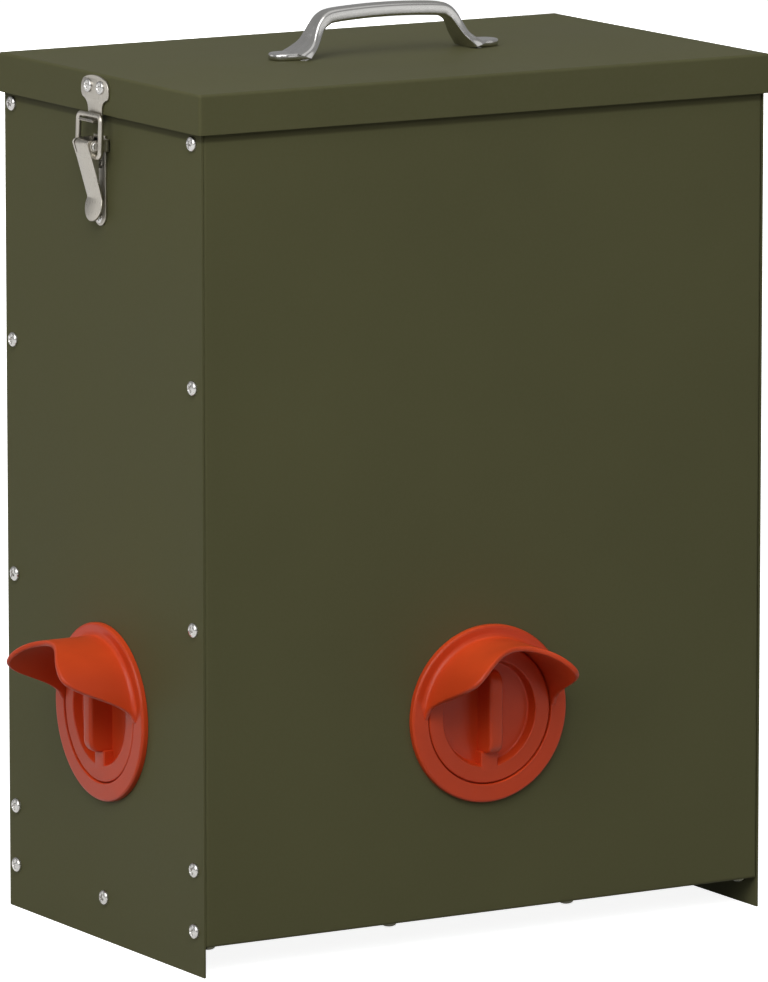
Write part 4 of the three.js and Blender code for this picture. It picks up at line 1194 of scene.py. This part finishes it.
def floor_material():
    """Pale and plain. To the camera and in reflections it glows a little, so that it stays near white under
    the soft lamps with only the contact shadow on it, and to the light that it would bounce it is darker."""
    material = bpy.data.materials.new("floor_paper")
    material.use_nodes = True
    tree = material.node_tree
    shader = tree.nodes["Principled BSDF"]
    rays = add_node(tree, "ShaderNodeLightPath").outputs
    tone = mix_colour(tree, rays["Is Diffuse Ray"], FLOOR_TONE, FLOOR_TONE_BOUNCED)
    tree.links.new(tone, shader.inputs["Base Color"])
    mirrored = maths(tree, "MULTIPLY", rays["Is Glossy Ray"], FLOOR_GLOW_MIRRORED)
    glow = maths(tree, "MULTIPLY_ADD", rays["Is Camera Ray"], FLOOR_GLOW, mirrored)
    tree.links.new(glow, shader.inputs["Emission Strength"])
    shader.inputs["Emission Color"].default_value = WHITE
    shader.inputs["Roughness"].default_value = FLOOR_ROUGHNESS
    shader.inputs["Specular IOR Level"].default_value = 0
    return material


def make_floor():
    """A wide square of floor under the feeder."""
    mesh = bpy.data.meshes.new("floor")
    half = FLOOR_HALF
    corners = [(-half, -half, 0), (half, -half, 0), (half, half, 0), (-half, half, 0)]
    mesh.from_pydata(corners, [], [(0, 1, 2, 3)])
    mesh.materials.append(floor_material())
    floor = add_object("floor", mesh)


def make_surroundings():
    """White to the camera. To all else it is a dome, dim at the horizon and brighter overhead: faint as a
    light, and stronger in reflections, where it stands for the white walls of the studio."""
    world = bpy.data.worlds.new("surroundings")
    scene.world = world
    world.use_nodes = True
    tree = world.node_tree
    tree.nodes.clear()
    coords = add_node(tree, "ShaderNodeTexCoord")
    up = z_part(tree, coords.outputs["Generated"])
    rays = add_node(tree, "ShaderNodeLightPath").outputs
    light, mirrored = (between(tree, up, low, high, span=(0, 1)) for low, high in (DOME_LIGHT, DOME_MIRRORED))
    shares = {0: rays["Is Glossy Ray"], 2: light, 3: mirrored}
    dome = add_node(tree, "ShaderNodeMix", shares, data_type="FLOAT")
    lighting, backdrop = (
        add_node(tree, "ShaderNodeBackground", {"Color": WHITE, "Strength": strength}).outputs[0]
        for strength in (dome.outputs[0], BACKDROP_STRENGTH)
    )
    seen = add_node(tree, "ShaderNodeMixShader", {0: rays["Is Camera Ray"], 1: lighting, 2: backdrop})
    add_node(tree, "ShaderNodeOutputWorld", {"Surface": seen.outputs[0]})


def add_lamp(name, place, size, power, mirrored=True):
    """A square soft lamp that faces the feeder's middle. It can be kept out of reflections."""
    data = bpy.data.lights.new(name, "AREA")
    data.size = size
    data.energy = power
    lamp = add_object(name, data)
    point_at(lamp, place, LAMP_AIM)
    lamp.visible_glossy = mirrored


make_floor()
make_surroundings()
add_lamp("overhead_softbox", (0.2, -0.5, 2.6), 2.4, 7.5)
add_lamp("key_softbox", (-1.7, -1.7, 2.6), 2.0, 32)
add_lamp("front_softbox", (-1.2, -3.2, 2.4), 1.8, 28)
add_lamp("left_softbox", (-3.2, -1.2, 1.8), 2.2, 37)
add_lamp("back_left_card", (-2.6, 2.4, 0.9), 1.8, 7.5)
add_lamp("low_front_card", (2.0, -3.6, 0.6), 2.6, 12)
add_lamp("back_softbox", (1.2, 3.4, 1.0), 2.0, 36, mirrored=False)
add_lamp("right_softbox", (3.3, 1.3, 1.0), 2.0, 18, mirrored=False)
scene.view_settings.view_transform = "Standard"
